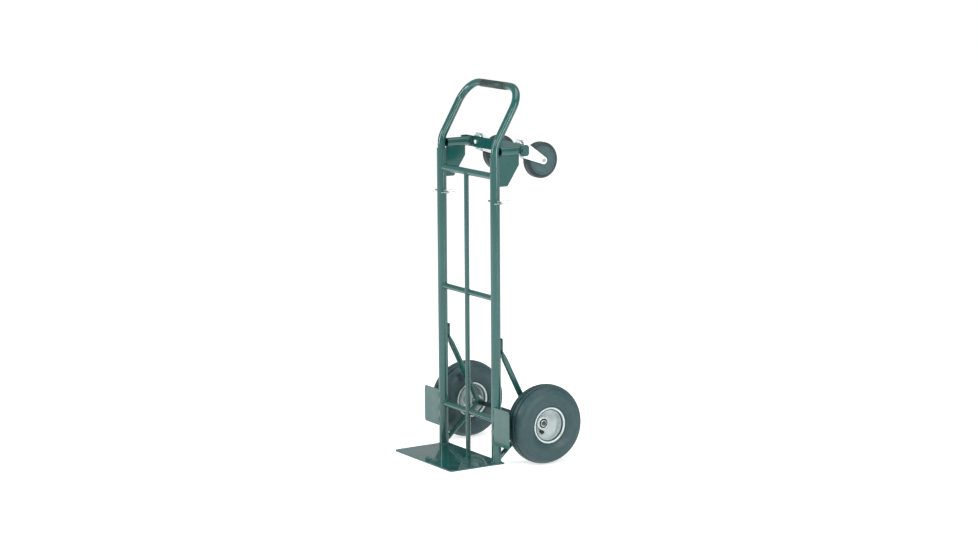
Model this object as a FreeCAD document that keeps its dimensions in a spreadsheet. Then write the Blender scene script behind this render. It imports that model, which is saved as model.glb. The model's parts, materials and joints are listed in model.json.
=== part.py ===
import FreeCAD, Part
import math
import os
import Sketcher
from FreeCAD import Placement, Rotation, Vector

# A convertible hand truck standing on its nose plate and its two main wheels, in millimetres.
# +X runs across the truck, +Y from the nose plate towards the casters, +Z up.
# The origin is on the floor, at the middle of the truck's length and width.
# "left" is the -X side and "right" the +X side.

SIDES = (("left", -1), ("right", 1))
BALLS_PER_CASTER = 12
TREAD_GROOVES = (-1, 0, 1)
# a flattened tube's outline keeps straight sides, so where it turns round they are this short
LEAST_FLAT = 0.02
# how far a cutter runs past what it cuts
OVERRUN = 1

SIZES = (
    # frame of welded tube
    ("rail_spacing", 324),
    ("rail_diameter", 31.75),
    ("rail_wall", 2.77),
    ("rail_top", 994.5),
    ("cross_tube_diameter", 19.05),
    ("tube_wall", 1.65),
    ("top_tube_diameter", 22.2),
    ("top_tube_drop", 61.5),
    ("middle_tube_height", 540),
    ("lower_tube_height", 144),
    ("centre_tube_diameter", 15.9),
    ("centre_tube_forward", 6),
    ("centre_tube_inset", 7.2),
    # nose plate
    ("nose_front", 184),
    ("nose_rear", 20),
    ("nose_side_margin", 0.1),
    ("nose_thickness", 5),
    ("nose_corner", 14),
    # plates that guard the tyres
    ("guard_width", 98),
    ("guard_height", 122),
    ("guard_bottom", 67),
    ("guard_thickness", 3),
    ("guard_forward", 13.5),
    ("guard_corner", 9),
    # braces and axle
    ("brace_top", 411),
    ("brace_tab_height", 41),
    ("brace_tab_width", 24),
    ("brace_tab_thickness", 5),
    ("brace_taper", 34),
    ("strut_diameter", 16),
    ("brace_bore_setback", 4),
    ("strut_foot_height", 12),
    ("bracket_diameter", 27),
    ("bracket_width", 21),
    ("axle_diameter", 15.88),
    ("axle_fit", 0.05),
    ("axle_end", 3),
    ("retainer_diameter", 21.5),
    ("retainer_thickness", 2),
    ("washer_diameter", 28),
    ("washer_thickness", 2.5),
    ("end_play", 0.5),
    # main wheels
    ("tyre_diameter", 259),
    ("tyre_width", 88),
    ("tyre_wall", 6),
    ("shoulder_drop", 13),
    ("shoulder_inset", 6),
    ("tyre_front_gap", 7.5),
    ("wheel_gap", 12.5),
    ("tread_groove_width", 3),
    ("tread_groove_depth", 2.5),
    ("tread_groove_pitch", 17),
    ("outer_groove_deepening", 1.4),
    ("rim_diameter", 101.6),
    ("rim_width", 66),
    ("rim_sheet", 2.2),
    ("rim_flange", 8),
    ("tube_gap", 0.4),
    ("inner_tube_wall", 2.2),
    ("rim_seam", 2.5),
    ("hub_diameter", 45),
    ("hub_length", 55),
    ("hub_land", 6),
    ("dish_depth", 14),
    ("bearing_diameter", 36),
    ("bearing_width", 11),
    ("bearing_ring", 3.2),
    ("bearing_shield_inset", 0.8),
    ("valve_offset", 29),
    ("valve_angle", 10),
    ("valve_diameter", 9),
    ("valve_length", 13),
    ("valve_cap_diameter", 12),
    ("valve_cap_length", 10),
    ("valve_cap_chamfer", 1.5),
    # sockets that take the handle when the truck is used as a platform
    ("socket_gap", 0.35),
    ("socket_wall", 1.25),
    ("socket_lift", 3.2),
    ("socket_front_gap", 5.3),
    ("socket_rear", 107),
    ("gusset_thickness", 3.2),
    ("gusset_drop", 94.5),
    ("gusset_foot_width", 31),
    ("gusset_rear", 90.5),
    ("gusset_knee_drop", 28.5),
    ("gusset_slot_depth", 2.2),
    ("upper_slot_top", 88.8),
    ("upper_slot_bottom", 75.6),
    ("lower_slot_top", 58.6),
    ("lower_slot_bottom", 20.8),
    ("gusset_dimple", 7),
    ("gusset_dimple_depth", 1.4),
    ("gusset_dimple_height", 72.4),
    ("gusset_dimple_back", 34.6),
    # bar that carries the casters
    ("bar_height", 36),
    ("bar_thickness", 6),
    ("ear_length", 20),
    ("ear_rear", 4),
    ("ear_corner", 10),
    ("ear_bolt_diameter", 6.3),
    ("ear_bolt_head", 12),
    ("ear_bolt_head_height", 4),
    ("ear_bolt_head_chamfer", 1.4),
    ("ear_bolt_back", 12),
    # casters
    ("caster_inset", 40),
    ("kingpin_diameter", 9.5),
    ("kingpin_head", 14),
    ("kingpin_head_height", 6),
    ("kingpin_nut", 16),
    ("kingpin_crown_diameter", 8),
    ("kingpin_brim_height", 2),
    ("kingpin_nut_height", 6),
    ("bolt_chamfer", 1),
    ("swivel_fit", 0.08),
    ("swivel_gap", 0.4),
    ("race_diameter", 52),
    ("race_thickness", 3),
    ("ball_diameter", 5),
    ("ball_ring", 38),
    ("fork_sheet", 4),
    ("fork_root", 58),
    ("fork_end", 24),
    ("caster_diameter", 117),
    ("caster_width", 32),
    ("caster_trail", 42),
    ("caster_gap", 15),
    ("caster_tread", 11),
    ("caster_hub_diameter", 32),
    ("caster_hub_gap", 0.8),
    ("caster_hub_proud", 1),
    ("caster_tread_round", 4),
    ("caster_rim_land", 4),
    ("caster_draft", 2),
    ("caster_web", 26),
    ("caster_bolt_diameter", 8),
    ("caster_bolt_head", 12),
    ("caster_bolt_head_height", 5),
    ("caster_bush_wall", 3),
    # handle
    ("handle_gap", 0.405),
    ("handle_wall", 2.1),
    ("handle_leg", 162.5),
    ("handle_bend_rise", 34.1),
    ("handle_bend_radius", 75),
    ("handle_tilt", 30.3),
    ("handle_reach", 208.5),
    ("handle_corner_radius", 72),
    # pins that hold the handle, and their clips
    ("pin_diameter", 7.94),
    ("pin_fit", 0.06),
    ("pin_drop", 142.5),
    ("pin_reach", 40),
    ("pin_tip", 3),
    ("pin_tip_radius", 2.17),
    ("pin_chamfer", 1),
    ("pin_slot_gap", 0.5),
    ("clip_wire", 2),
    ("clip_fit", 0.15),
    ("clip_gap", 0.4),
    ("clip_from_end", 5),
    ("clip_front", 24),
    ("clip_rear", 24),
    ("clip_eye", 9),
    ("clip_rise", 3),
    ("clip_bend", 8),
)

PLACES = (
    ("rail_x", "=Size.rail_spacing / 2"),
    ("rail_radius", "=Size.rail_diameter / 2"),
    ("rail_bore", "=rail_radius - Size.rail_wall"),
    ("tyre_radius", "=Size.tyre_diameter / 2"),
    ("axle_back", "=tyre_radius + Size.tyre_front_gap"),
    ("rail_y", "=(Size.nose_front - axle_back - tyre_radius) / 2"),
    ("rail_back", "=rail_y + rail_radius"),
    ("axle_y", "=rail_y + axle_back"),
    ("axle_radius", "=Size.axle_diameter / 2"),
    ("nose_width", "=Size.rail_spacing + Size.rail_diameter + 2 * Size.nose_side_margin"),
    ("centre_tube_y", "=rail_y - Size.centre_tube_forward"),
    ("top_tube_z", "=Size.rail_top - Size.top_tube_drop"),
    ("top_tube_radius", "=Size.top_tube_diameter / 2"),
    ("cross_tube_radius", "=Size.cross_tube_diameter / 2"),
    ("bracket_radius", "=Size.bracket_diameter / 2"),
    ("brace_radius", "=cross_tube_radius"),
    ("brace_y", "=rail_back + Size.brace_tab_thickness / 2"),
    ("brace_z", "=Size.brace_top - Size.brace_tab_height"),
    ("strut_y", "=rail_y + rail_radius / 2"),
    ("strut_z", "=Size.nose_thickness + Size.strut_foot_height"),
    ("strut_length", "=sqrt((axle_y - strut_y) ^ 2 + (tyre_radius - strut_z) ^ 2)"),
    ("strut_lean", "=atan((axle_y - strut_y) / (tyre_radius - strut_z))"),
    ("wheel_x", "=rail_x + rail_radius + Size.wheel_gap + Size.tyre_width / 2"),
    ("hub_inner_x", "=rail_x + Size.bracket_width / 2 + Size.washer_thickness + Size.end_play"),
    ("hub_outer_x", "=hub_inner_x + Size.hub_length"),
    ("axle_half", "=hub_outer_x + Size.end_play + Size.retainer_thickness + Size.axle_end"),
    ("hub_in", "=hub_inner_x - wheel_x"),
    ("hub_out", "=hub_outer_x - wheel_x"),
    ("hub_radius", "=Size.hub_diameter / 2"),
    ("bearing_radius", "=Size.bearing_diameter / 2"),
    ("barrel_radius", "=Size.rim_diameter / 2"),
    ("flange_radius", "=barrel_radius + Size.rim_flange"),
    ("rim_half", "=Size.rim_width / 2"),
    ("dish", "=-Size.dish_depth"),
    ("dish_radius", "=hub_radius + Size.hub_land"),
    ("valve_across", "=Size.valve_offset * sin(Size.valve_angle)"),
    ("valve_down", "=Size.valve_offset * cos(Size.valve_angle)"),
    ("bead_half", "=rim_half - Size.rim_sheet"),
    ("shoulder_radius", "=tyre_radius - Size.shoulder_drop"),
    ("shoulder_half", "=Size.tyre_width / 2 - Size.shoulder_inset"),
    ("crown_radius", "=(shoulder_half ^ 2 + Size.shoulder_drop ^ 2) / (2 * Size.shoulder_drop)"),
    ("flank_half", "=sqrt((shoulder_radius - flange_radius) ^ 2 + (shoulder_half - bead_half) ^ 2) / 2"),
    ("flank_rise", "=Size.tyre_width / 2 - (bead_half + shoulder_half) / 2"),
    ("flank_radius", "=(flank_half ^ 2 + flank_rise ^ 2) / (2 * flank_rise)"),
    ("cavity_shoulder_radius", "=shoulder_radius - Size.tyre_wall"),
    ("cavity_half", "=shoulder_half - Size.tyre_wall"),
    ("cavity_crown_radius", "=(cavity_half ^ 2 + Size.shoulder_drop ^ 2) / (2 * Size.shoulder_drop)"),
    ("handle_radius", "=rail_bore - Size.handle_gap"),
    ("handle_bore", "=handle_radius - Size.handle_wall"),
    ("socket_bore", "=handle_radius + Size.socket_gap"),
    ("socket_radius", "=socket_bore + Size.socket_wall"),
    ("socket_z", "=Size.rail_top + Size.socket_lift + socket_radius"),
    ("socket_front", "=handle_radius + Size.socket_front_gap"),
    ("socket_y", "=rail_y + socket_front"),
    ("bar_y", "=rail_y + Size.socket_rear"),
    ("bar_back", "=bar_y + Size.bar_thickness"),
    ("bar_half", "=rail_x + socket_radius + Size.bar_thickness"),
    ("ear_bolt_y", "=bar_y - Size.ear_bolt_back"),
    ("caster_x", "=rail_x - Size.caster_inset"),
    ("kingpin_radius", "=Size.kingpin_diameter / 2"),
    ("race_back", "=bar_back + Size.race_thickness"),
    ("ball_y", "=race_back + Size.ball_diameter / 2"),
    ("fork_y", "=race_back + Size.ball_diameter + Size.swivel_gap"),
    ("fork_back", "=fork_y + Size.fork_sheet"),
    ("caster_radius", "=Size.caster_diameter / 2"),
    ("caster_y", "=fork_back + Size.caster_gap + caster_radius"),
    ("caster_z", "=socket_z - Size.caster_trail"),
    ("caster_half", "=Size.caster_width / 2"),
    ("fork_inner", "=caster_half + Size.caster_hub_proud + Size.caster_hub_gap"),
    ("fork_outer", "=fork_inner + Size.fork_sheet"),
    ("caster_bolt_radius", "=Size.caster_bolt_diameter / 2"),
    ("pin_z", "=Size.rail_top - Size.pin_drop"),
    ("pin_radius", "=Size.pin_diameter / 2"),
    ("handle_foot_z", "=Size.rail_top - Size.handle_leg"),
    ("handle_bend_z", "=Size.rail_top + Size.handle_bend_rise"),
)

doc = FreeCAD.newDocument("hand_truck")


def make_sheet(name, rows):
    sheet = doc.addObject("Spreadsheet::Sheet", name)
    for row, (alias, content) in enumerate(rows, start=1):
        sheet.set(f"A{row}", alias)
        sheet.set(f"B{row}", str(content))
        sheet.setAlias(f"B{row}", alias)
    doc.recompute()
    return sheet


size_sheet = make_sheet("Size", SIZES)
place_sheet = make_sheet("Place", PLACES)
sub_parts = []


def number(expression):
    """The present value of an expression over the two sheets."""
    result = place_sheet.evalExpression(str(expression))
    return float(getattr(result, "Value", result))


def keep(item):
    """Marks an object as one of the truck's sub-parts."""
    sub_parts.append(item)
    return item


# ---- placing and simple solids ----

ALONG_X = Rotation(Vector(0, 1, 0), 90)
ALONG_Y = Rotation(Vector(1, 0, 0), -90)
ALONG_Z = Rotation()
OUTWARD = {-1: Rotation(Vector(0, 1, 0), -90), 1: ALONG_X}


def put(item, x="0", y="0", z="0", turn=ALONG_Z, lean=None):
    """Binds an object's place to the sheets. lean, in degrees, tips its top towards +Y."""
    if lean is not None:
        turn = Rotation(Vector(-1, 0, 0), number(lean))
    item.Placement = Placement(Vector(), turn)
    for axis, expression in zip("xyz", (x, y, z)):
        item.setExpression(f"Placement.Base.{axis}", str(expression))
    if lean is not None:
        item.setExpression("Placement.Rotation.Angle", str(lean))
    return item


def rod(name, radius, length, x="0", y="0", z="0", turn=ALONG_Z, lean=None):
    cylinder = doc.addObject("Part::Cylinder", name)
    cylinder.setExpression("Radius", str(radius))
    cylinder.setExpression("Height", str(length))
    return put(cylinder, x, y, z, turn, lean)


def block(name, length, width, height, x="0", y="0", z="0"):
    box = doc.addObject("Part::Box", name)
    box.setExpression("Length", str(length))
    box.setExpression("Width", str(width))
    box.setExpression("Height", str(height))
    return put(box, x, y, z)


def join(name, items):
    fusion = doc.addObject("Part::MultiFuse", name)
    fusion.Shapes = items
    return fusion


def group(name, items):
    """Separate pieces that share one node."""
    compound = doc.addObject("Part::Compound", name)
    compound.Links = items
    return compound


def cut(name, base, tools):
    result = doc.addObject("Part::Cut", name)
    result.Base = base
    result.Tool = tools[0] if len(tools) == 1 else join(name + "_cutters", tools)
    return result


# ---- sketched solids ----


def new_body(name):
    body = doc.addObject("PartDesign::Body", name)
    body.Label = name
    return body


def new_sketch(body, plane, name):
    sketch = body.newObject("Sketcher::SketchObject", name)
    origin_plane = next(item for item in body.Origin.OriginFeatures if item.Role == plane)
    sketch.AttachmentSupport = [(origin_plane, "")]
    sketch.MapMode = "FlatFace"
    return sketch


def bind(sketch, kind, *where, expression):
    """Adds a dimension to a sketch and binds it to the sheets."""
    index = sketch.addConstraint(Sketcher.Constraint(kind, *where, number(expression)))
    sketch.setExpression(f"Constraints[{index}]", str(expression))


def circle(sketch, radius, x="0", y="0"):
    centre = Vector(number(x), number(y), 0)
    index = sketch.addGeometry(Part.Circle(centre, Vector(0, 0, 1), number(radius)))
    bind(sketch, "Radius", index, expression=radius)
    bind(sketch, "DistanceX", -1, 1, index, 3, expression=x)
    bind(sketch, "DistanceY", -1, 1, index, 3, expression=y)


def arc_between(start, end, radius):
    """The short arc from start to end. A positive radius turns left, a negative one turns right."""
    chord = end - start
    middle = (start + end) / 2
    half = chord.Length / 2
    left = Vector(-chord.y, chord.x, 0).normalize()
    reach = math.sqrt(max(radius * radius - half * half, 0))
    centre = middle + left * math.copysign(reach, radius)
    first, last = (start, end) if radius > 0 else (end, start)
    angles = [math.atan2(point.y - centre.y, point.x - centre.x) for point in (first, last)]
    return Part.ArcOfCircle(Part.Circle(centre, Vector(0, 0, 1), abs(radius)), *angles)


def outline(sketch, corners):
    """A closed outline. A corner is (x, y), or (x, y, radius) where an arc leads to the next corner."""
    points = [Vector(number(corner[0]), number(corner[1]), 0) for corner in corners]
    edges = []
    for index, corner in enumerate(corners):
        start, end = points[index], points[(index + 1) % len(points)]
        if len(corner) == 2:
            edge = sketch.addGeometry(Part.LineSegment(start, end))
            edges.append((edge, 1, 2))
            continue
        radius = number(corner[2])
        edge = sketch.addGeometry(arc_between(start, end, radius))
        bind(sketch, "Radius", edge, expression=f"abs({corner[2]})")
        edges.append((edge, 1, 2) if radius > 0 else (edge, 2, 1))
    for index, (edge, begins, ends) in enumerate(edges):
        following = edges[(index + 1) % len(edges)]
        sketch.addConstraint(Sketcher.Constraint("Coincident", edge, ends, following[0], following[1]))
        bind(sketch, "DistanceX", -1, 1, edge, begins, expression=corners[index][0])
        bind(sketch, "DistanceY", -1, 1, edge, begins, expression=corners[index][1])


def pad(body, sketch, length, symmetric=True):
    feature = body.newObject("PartDesign::Pad", sketch.Name + "_pad")
    feature.Profile = sketch
    feature.setExpression("Length", str(length))
    feature.SideType = "Symmetric" if symmetric else "One side"
    return feature


def pocket(body, sketch, length):
    """Cuts both ways from the sketch's plane, over the whole length."""
    feature = body.newObject("PartDesign::Pocket", sketch.Name + "_pocket")
    feature.Profile = sketch
    feature.setExpression("Length", str(length))
    feature.SideType = "Symmetric"
    return feature


def hole(body, plane, name, radius, x, y, length):
    sketch = new_sketch(body, plane, name)
    circle(sketch, radius, x, y)
    return pocket(body, sketch, length)


def round_upright_edges(body, feature, radius, wanted, direction=Vector(0, 0, 1)):
    """Rounds the straight edges along direction whose middle point is wanted."""
    doc.recompute()
    names = []
    for index, edge in enumerate(feature.Shape.Edges, start=1):
        if edge.Curve.TypeId != "Part::GeomLine":
            continue
        along = abs(edge.tangentAt(edge.FirstParameter).dot(direction))
        middle = edge.valueAt((edge.FirstParameter + edge.LastParameter) / 2)
        if along > 0.999 and wanted(middle):
            names.append(f"Edge{index}")
    fillet = body.newObject("PartDesign::Fillet", feature.Name + "_rounds")
    fillet.Base = (feature, names)
    fillet.setExpression("Radius", str(radius))
    return fillet


def ring_bar(name, outer, inner, length, **where):
    """A straight tube along its body's Z axis, centred on its body's origin."""
    body = new_body(name)
    sketch = new_sketch(body, "XY_Plane", name + "_section")
    circle(sketch, outer)
    circle(sketch, inner)
    pad(body, sketch, length)
    return put(body, **where)


def turned(name, corners, **where):
    """A turned piece: corners are (radius, distance along the axis). Its axis is its body's Z."""
    body = new_body(name)
    sketch = new_sketch(body, "XZ_Plane", name + "_profile")
    outline(sketch, corners)
    feature = body.newObject("PartDesign::Revolution", name + "_turn")
    feature.Profile = sketch
    feature.ReferenceAxis = (sketch, ["V_Axis"])
    feature.Angle = 360
    return put(body, **where)


def plain_ring(inner, outer, low, high):
    """The outline of a flat-sided ring, for turned()."""
    return [(inner, low), (outer, low), (outer, high), (inner, high)]


# ---- frame ----


def make_rail(name, side):
    """An upright rail: a round tube from the nose plate to its open top, drilled across for its pin."""
    body = new_body(f"{name}_rail")
    sketch = new_sketch(body, "XY_Plane", f"{name}_rail_section")
    circle(sketch, "Place.rail_radius")
    circle(sketch, "Place.rail_bore")
    pad(body, sketch, "Size.rail_top - Size.nose_thickness", symmetric=False)
    pin_height = "Place.pin_z - Size.nose_thickness"
    hole(body, "YZ_Plane", f"{name}_rail_pin_hole", "Place.pin_radius + Size.pin_fit", "0", pin_height,
         "2 * Size.rail_diameter")
    keep(put(body, f"{side} * Place.rail_x", "Place.rail_y", "Size.nose_thickness"))


def rail_cutters(name):
    return [
        rod(f"{name}_{side_name}_cope", "Place.rail_radius", "Size.rail_top",
            f"{side} * Place.rail_x", "Place.rail_y")
        for side_name, side in SIDES
    ]


def make_cross_tube(name, radius, height, extra_cutters=()):
    """A tube between the rails, coped to them at both ends."""
    length = "Size.rail_spacing"
    where = ("-Place.rail_x", "Place.rail_y", height, ALONG_X)
    outer = rod(f"{name}_outside", radius, length, *where)
    inner = rod(f"{name}_inside", f"{radius} - Size.tube_wall", length, *where)
    keep(cut(name, outer, [inner, *rail_cutters(name), *extra_cutters]))


def centre_tube_cutter(name):
    """What a cross tube loses where the centre tube runs through its front half."""
    return rod(f"{name}_notch", "Size.centre_tube_diameter / 2", "Size.rail_top", "0", "Place.centre_tube_y")


def make_centre_tube():
    """The tube down the middle of the frame, coped under the top cross tube."""
    radius = "Size.centre_tube_diameter / 2"
    length = "Place.top_tube_z - Place.top_tube_radius + Size.centre_tube_inset - Size.nose_thickness"
    where = ("0", "Place.centre_tube_y", "Size.nose_thickness")
    outer = rod("centre_tube_outside", radius, length, *where)
    inner = rod("centre_tube_inside", f"{radius} - Size.tube_wall", length, *where)
    cope = rod("centre_tube_cope", "Place.top_tube_radius", "Size.rail_spacing", "-Place.rail_x",
               "Place.rail_y", "Place.top_tube_z", ALONG_X)
    keep(cut("centre_tube", outer, [inner, cope]))


def make_nose_plate():
    """The steel plate that the load stands on, with its two front corners rounded."""
    body = new_body("nose_plate")
    sketch = new_sketch(body, "XY_Plane", "nose_plate_outline")
    half = "Place.nose_width / 2"
    outline(sketch, [
        (f"-{half}", "-Size.nose_front"), (half, "-Size.nose_front"), (half, "Size.nose_rear"),
        (f"-{half}", "Size.nose_rear"),
    ])
    plate = pad(body, sketch, "Size.nose_thickness", symmetric=False)
    round_upright_edges(body, plate, "Size.nose_corner", lambda point: point.y < 0)
    keep(put(body, "0", "Place.rail_y", "0"))


def make_guard(name, side):
    """A flat plate in front of a tyre, coped and welded to the outside of its rail."""
    body = new_body(f"{name}_guard_blank")
    sketch = new_sketch(body, "XZ_Plane", f"{name}_guard_outline")
    far = f"{side} * Size.guard_width"
    outline(sketch, [("0", "0"), (far, "0"), (far, "Size.guard_height"), ("0", "Size.guard_height")])
    plate = pad(body, sketch, "Size.guard_thickness")
    round_upright_edges(body, plate, "Size.guard_corner", lambda point: abs(point.x) > 1, Vector(0, 1, 0))
    put(body, f"{side} * Place.rail_x", "Place.rail_y - Size.guard_forward", "Size.guard_bottom")
    cope = rod(f"{name}_guard_cope", "Place.rail_radius", "Size.rail_top", f"{side} * Place.rail_x",
               "Place.rail_y")
    keep(cut(f"{name}_wheel_guard", body, [cope]))


# ---- braces, axle ----


def bracket_cutter(name, side):
    return rod(f"{name}_end_cope", "Place.bracket_radius", "2 * Size.bracket_width",
               f"{side} * Place.rail_x - Size.bracket_width", "Place.axle_y", "Place.tyre_radius", ALONG_X)


def slot_wire(width, thickness, centre, turn):
    """A flattened tube's outline: two straight sides with round ends, centred in the local XY plane."""
    flat = (width - thickness) / 2
    half = thickness / 2
    top = Part.LineSegment(Vector(flat, half, 0), Vector(-flat, half, 0))
    left = Part.Arc(Vector(-flat, half, 0), Vector(-flat - half, 0, 0), Vector(-flat, -half, 0))
    bottom = Part.LineSegment(Vector(-flat, -half, 0), Vector(flat, -half, 0))
    right = Part.Arc(Vector(flat, -half, 0), Vector(flat + half, 0, 0), Vector(flat, half, 0))
    wire = Part.Wire([edge.toShape() for edge in (top, left, bottom, right)])
    wire.Placement = Placement(centre, turn)
    return wire


def brace_shape():
    """The brace in the plane X = 0: a flat tab against the rail, a taper and a round tube to the axle."""
    tab_top = Vector(0, number("Place.brace_y"), number("Size.brace_top"))
    tab_foot = Vector(0, number("Place.brace_y"), number("Place.brace_z"))
    axle = Vector(0, number("Place.axle_y"), number("Place.tyre_radius"))
    direction = (axle - tab_foot).normalize()
    round_start = tab_foot + direction * number("Size.brace_taper")
    lean = Rotation(Vector(0, 0, -1), direction)
    radius = number("Place.brace_radius")
    width, thickness = number("Size.brace_tab_width"), number("Size.brace_tab_thickness")
    top, foot = (slot_wire(width, thickness, point, Rotation()) for point in (tab_top, tab_foot))
    nearly_round = slot_wire(2 * radius + LEAST_FLAT, 2 * radius, round_start, lean)
    tab = Part.makeLoft([top, foot], True, True)
    taper = Part.makeLoft([foot, nearly_round], True, True)
    length = (axle - round_start).Length
    tube = Part.makeCylinder(radius, length, round_start, direction)
    bore_start = round_start + direction * number("Size.brace_bore_setback")
    bore = Part.makeCylinder(radius - number("Size.tube_wall"), length, bore_start, direction)
    return tab.fuse([taper, tube]).removeSplitter().cut(bore)


def make_brace(name, side, shape):
    """The upper brace, from the back of a rail down to the axle bracket."""
    blank = doc.addObject("Part::Feature", f"{name}_brace_blank")
    blank.Shape = shape
    put(blank, f"{side} * Place.rail_x")
    keep(cut(f"{name}_upper_brace", blank, [bracket_cutter(f"{name}_upper_brace", side)]))


def make_strut(name, side):
    """The lower brace, a round bar from the foot of a rail up to the axle bracket."""
    x = f"{side} * Place.rail_x"
    bar = rod(f"{name}_strut_blank", "Size.strut_diameter / 2", "Place.strut_length", x, "Place.strut_y",
              "Place.strut_z", lean="Place.strut_lean")
    cope = rod(f"{name}_strut_cope", "Place.rail_radius", "Size.rail_top", x, "Place.rail_y")
    deep = "2 * Size.rail_diameter"
    floor = block(f"{name}_strut_floor", "Size.rail_diameter", "4 * Size.rail_diameter", deep,
                  f"{x} - Place.rail_radius", "Place.rail_y", f"Size.nose_thickness - {deep}")
    keep(cut(f"{name}_lower_brace", bar, [cope, floor, bracket_cutter(f"{name}_lower_brace", side)]))


def make_bracket(name, side):
    """The sleeve that the axle passes through, with both braces welded to it."""
    keep(ring_bar(f"{name}_axle_bracket", "Place.bracket_radius", "Place.axle_radius", "Size.bracket_width",
                  x=f"{side} * Place.rail_x", y="Place.axle_y", z="Place.tyre_radius", turn=ALONG_X))


def make_axle():
    """One rod through both brackets and both wheels."""
    keep(rod("axle", "Place.axle_radius", "2 * Place.axle_half", "-Place.axle_half", "Place.axle_y",
             "Place.tyre_radius", ALONG_X))


def make_axle_rings(name, radius, thickness, distance):
    """A pair of rings on the axle, one for each wheel, whose middles are distance from the truck's middle."""
    rings = [
        ring_bar(f"{side_name}_{name}", radius, "Place.axle_radius", thickness, x=f"{side} * ({distance})",
                 y="Place.axle_y", z="Place.tyre_radius", turn=ALONG_X)
        for side_name, side in SIDES
    ]
    keep(group(name, rings))


# ---- main wheels ----


def wheel_place(side):
    x = f"{side} * Place.wheel_x"
    return {"x": x, "y": "Place.axle_y", "z": "Place.tyre_radius", "turn": OUTWARD[side]}


def make_tyre(name, side):
    """A pneumatic tyre: a shell of rubber, open between its beads, with grooves round the tread."""
    foot, bead_top, tread = "Place.barrel_radius", "Place.flange_radius", "Place.tyre_radius"
    bead, inside_bead = "Place.bead_half", "(Place.bead_half - Size.tyre_wall)"
    shoulder, shoulder_half = "Place.shoulder_radius", "Place.shoulder_half"
    cavity, cavity_half = "Place.cavity_shoulder_radius", "Place.cavity_half"
    crown, flank, inside_crown = "Place.crown_radius", "Place.flank_radius", "Place.cavity_crown_radius"
    corners = [
        (foot, f"-{bead}"), (bead_top, f"-{bead}", flank), (shoulder, f"-{shoulder_half}", crown),
        (tread, "0", crown), (shoulder, shoulder_half, flank), (bead_top, bead), (foot, bead),
        (foot, inside_bead), (bead_top, inside_bead, f"-{flank}"), (cavity, cavity_half, f"-{inside_crown}"),
        (f"{tread} - Size.tyre_wall", "0", f"-{inside_crown}"), (cavity, f"-{cavity_half}", f"-{flank}"),
        (bead_top, f"-{inside_bead}"), (foot, f"-{inside_bead}"),
    ]
    body = turned(f"{name}_tyre", corners, **wheel_place(side))
    for index, place in enumerate(TREAD_GROOVES):
        groove = new_sketch(body, "XZ_Plane", f"{name}_tread_groove_{index}")
        middle = f"{place} * Size.tread_groove_pitch"
        bottom = f"Place.tyre_radius - Size.tread_groove_depth - {abs(place)} * Size.outer_groove_deepening"
        above = f"Place.tyre_radius + {OVERRUN}"
        low, high = f"{middle} - Size.tread_groove_width / 2", f"{middle} + Size.tread_groove_width / 2"
        outline(groove, [(bottom, low), (above, low), (above, high), (bottom, high)])
        feature = body.newObject("PartDesign::Groove", f"{name}_groove_{index}")
        feature.Profile = groove
        feature.ReferenceAxis = (groove, ["V_Axis"])
        feature.Angle = 360
    keep(body)


def make_inner_tube(name, side):
    """The air tube: a hollow ring that fills the tyre's cavity and sits on the rim's barrel."""
    gap = "Size.tube_gap"
    foot = f"Place.barrel_radius + {gap}"
    half = f"Place.bead_half - Size.tyre_wall - {gap}"
    top = f"Place.tyre_radius - Size.tyre_wall - Size.shoulder_drop - {gap}"
    wall = "Size.inner_tube_wall"
    body = turned(f"{name}_inner_tube", [
        (foot, f"-({half})"), (top, f"-({half})"), (top, half), (foot, half),
    ], **wheel_place(side))
    inside = new_sketch(body, "XZ_Plane", f"{name}_inner_tube_air")
    low, high = f"{foot} + {wall}", f"{top} - {wall}"
    across = f"({half} - {wall})"
    outline(inside, [(low, f"-{across}"), (high, f"-{across}"), (high, across), (low, across)])
    air = body.newObject("PartDesign::Groove", f"{name}_inner_tube_hollow")
    air.Profile = inside
    air.ReferenceAxis = (inside, ["V_Axis"])
    air.Angle = 360
    keep(body)


def cut_valve_hole(body, name, side):
    hole(body, "XY_Plane", f"{name}_valve_hole", "Size.valve_diameter / 2", f"{side} * Place.valve_down",
         "-Place.valve_across", "6 * Size.dish_depth")


def make_outer_rim(name, side):
    """The outer half of the rim: flange, barrel and a dished disc that slopes in to the hub."""
    sheet, barrel, seam = "Size.rim_sheet", "Place.barrel_radius", "Size.rim_seam"
    inside = f"{barrel} - {sheet}"
    hub, land = "Place.hub_radius", "Place.dish_radius"
    dish = "Place.dish"
    body = turned(f"{name}_outer_rim", [
        (hub, dish), (land, dish), (f"{inside} - {sheet}", seam), (inside, f"{seam} + {sheet}"),
        (inside, "Place.rim_half"), ("Place.flange_radius", "Place.rim_half"),
        ("Place.flange_radius", "Place.bead_half"), (barrel, "Place.bead_half"), (barrel, seam),
        (inside, seam), (f"{land} + {sheet} / 2", f"{dish} - {sheet}"), (hub, f"{dish} - {sheet}"),
    ], **wheel_place(side))
    cut_valve_hole(body, f"{name}_outer_rim", side)
    keep(body)


def make_inner_rim(name, side):
    """The inner half of the rim: a flange and a barrel, welded to the outer half at the seam."""
    barrel, seam = "Place.barrel_radius", "Size.rim_seam"
    inside = f"{barrel} - Size.rim_sheet"
    keep(turned(f"{name}_inner_rim", [
        (inside, seam), (barrel, seam), (barrel, "-Place.bead_half"),
        ("Place.flange_radius", "-Place.bead_half"), ("Place.flange_radius", "-Place.rim_half"),
        (inside, "-Place.rim_half"),
    ], **wheel_place(side)))


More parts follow.
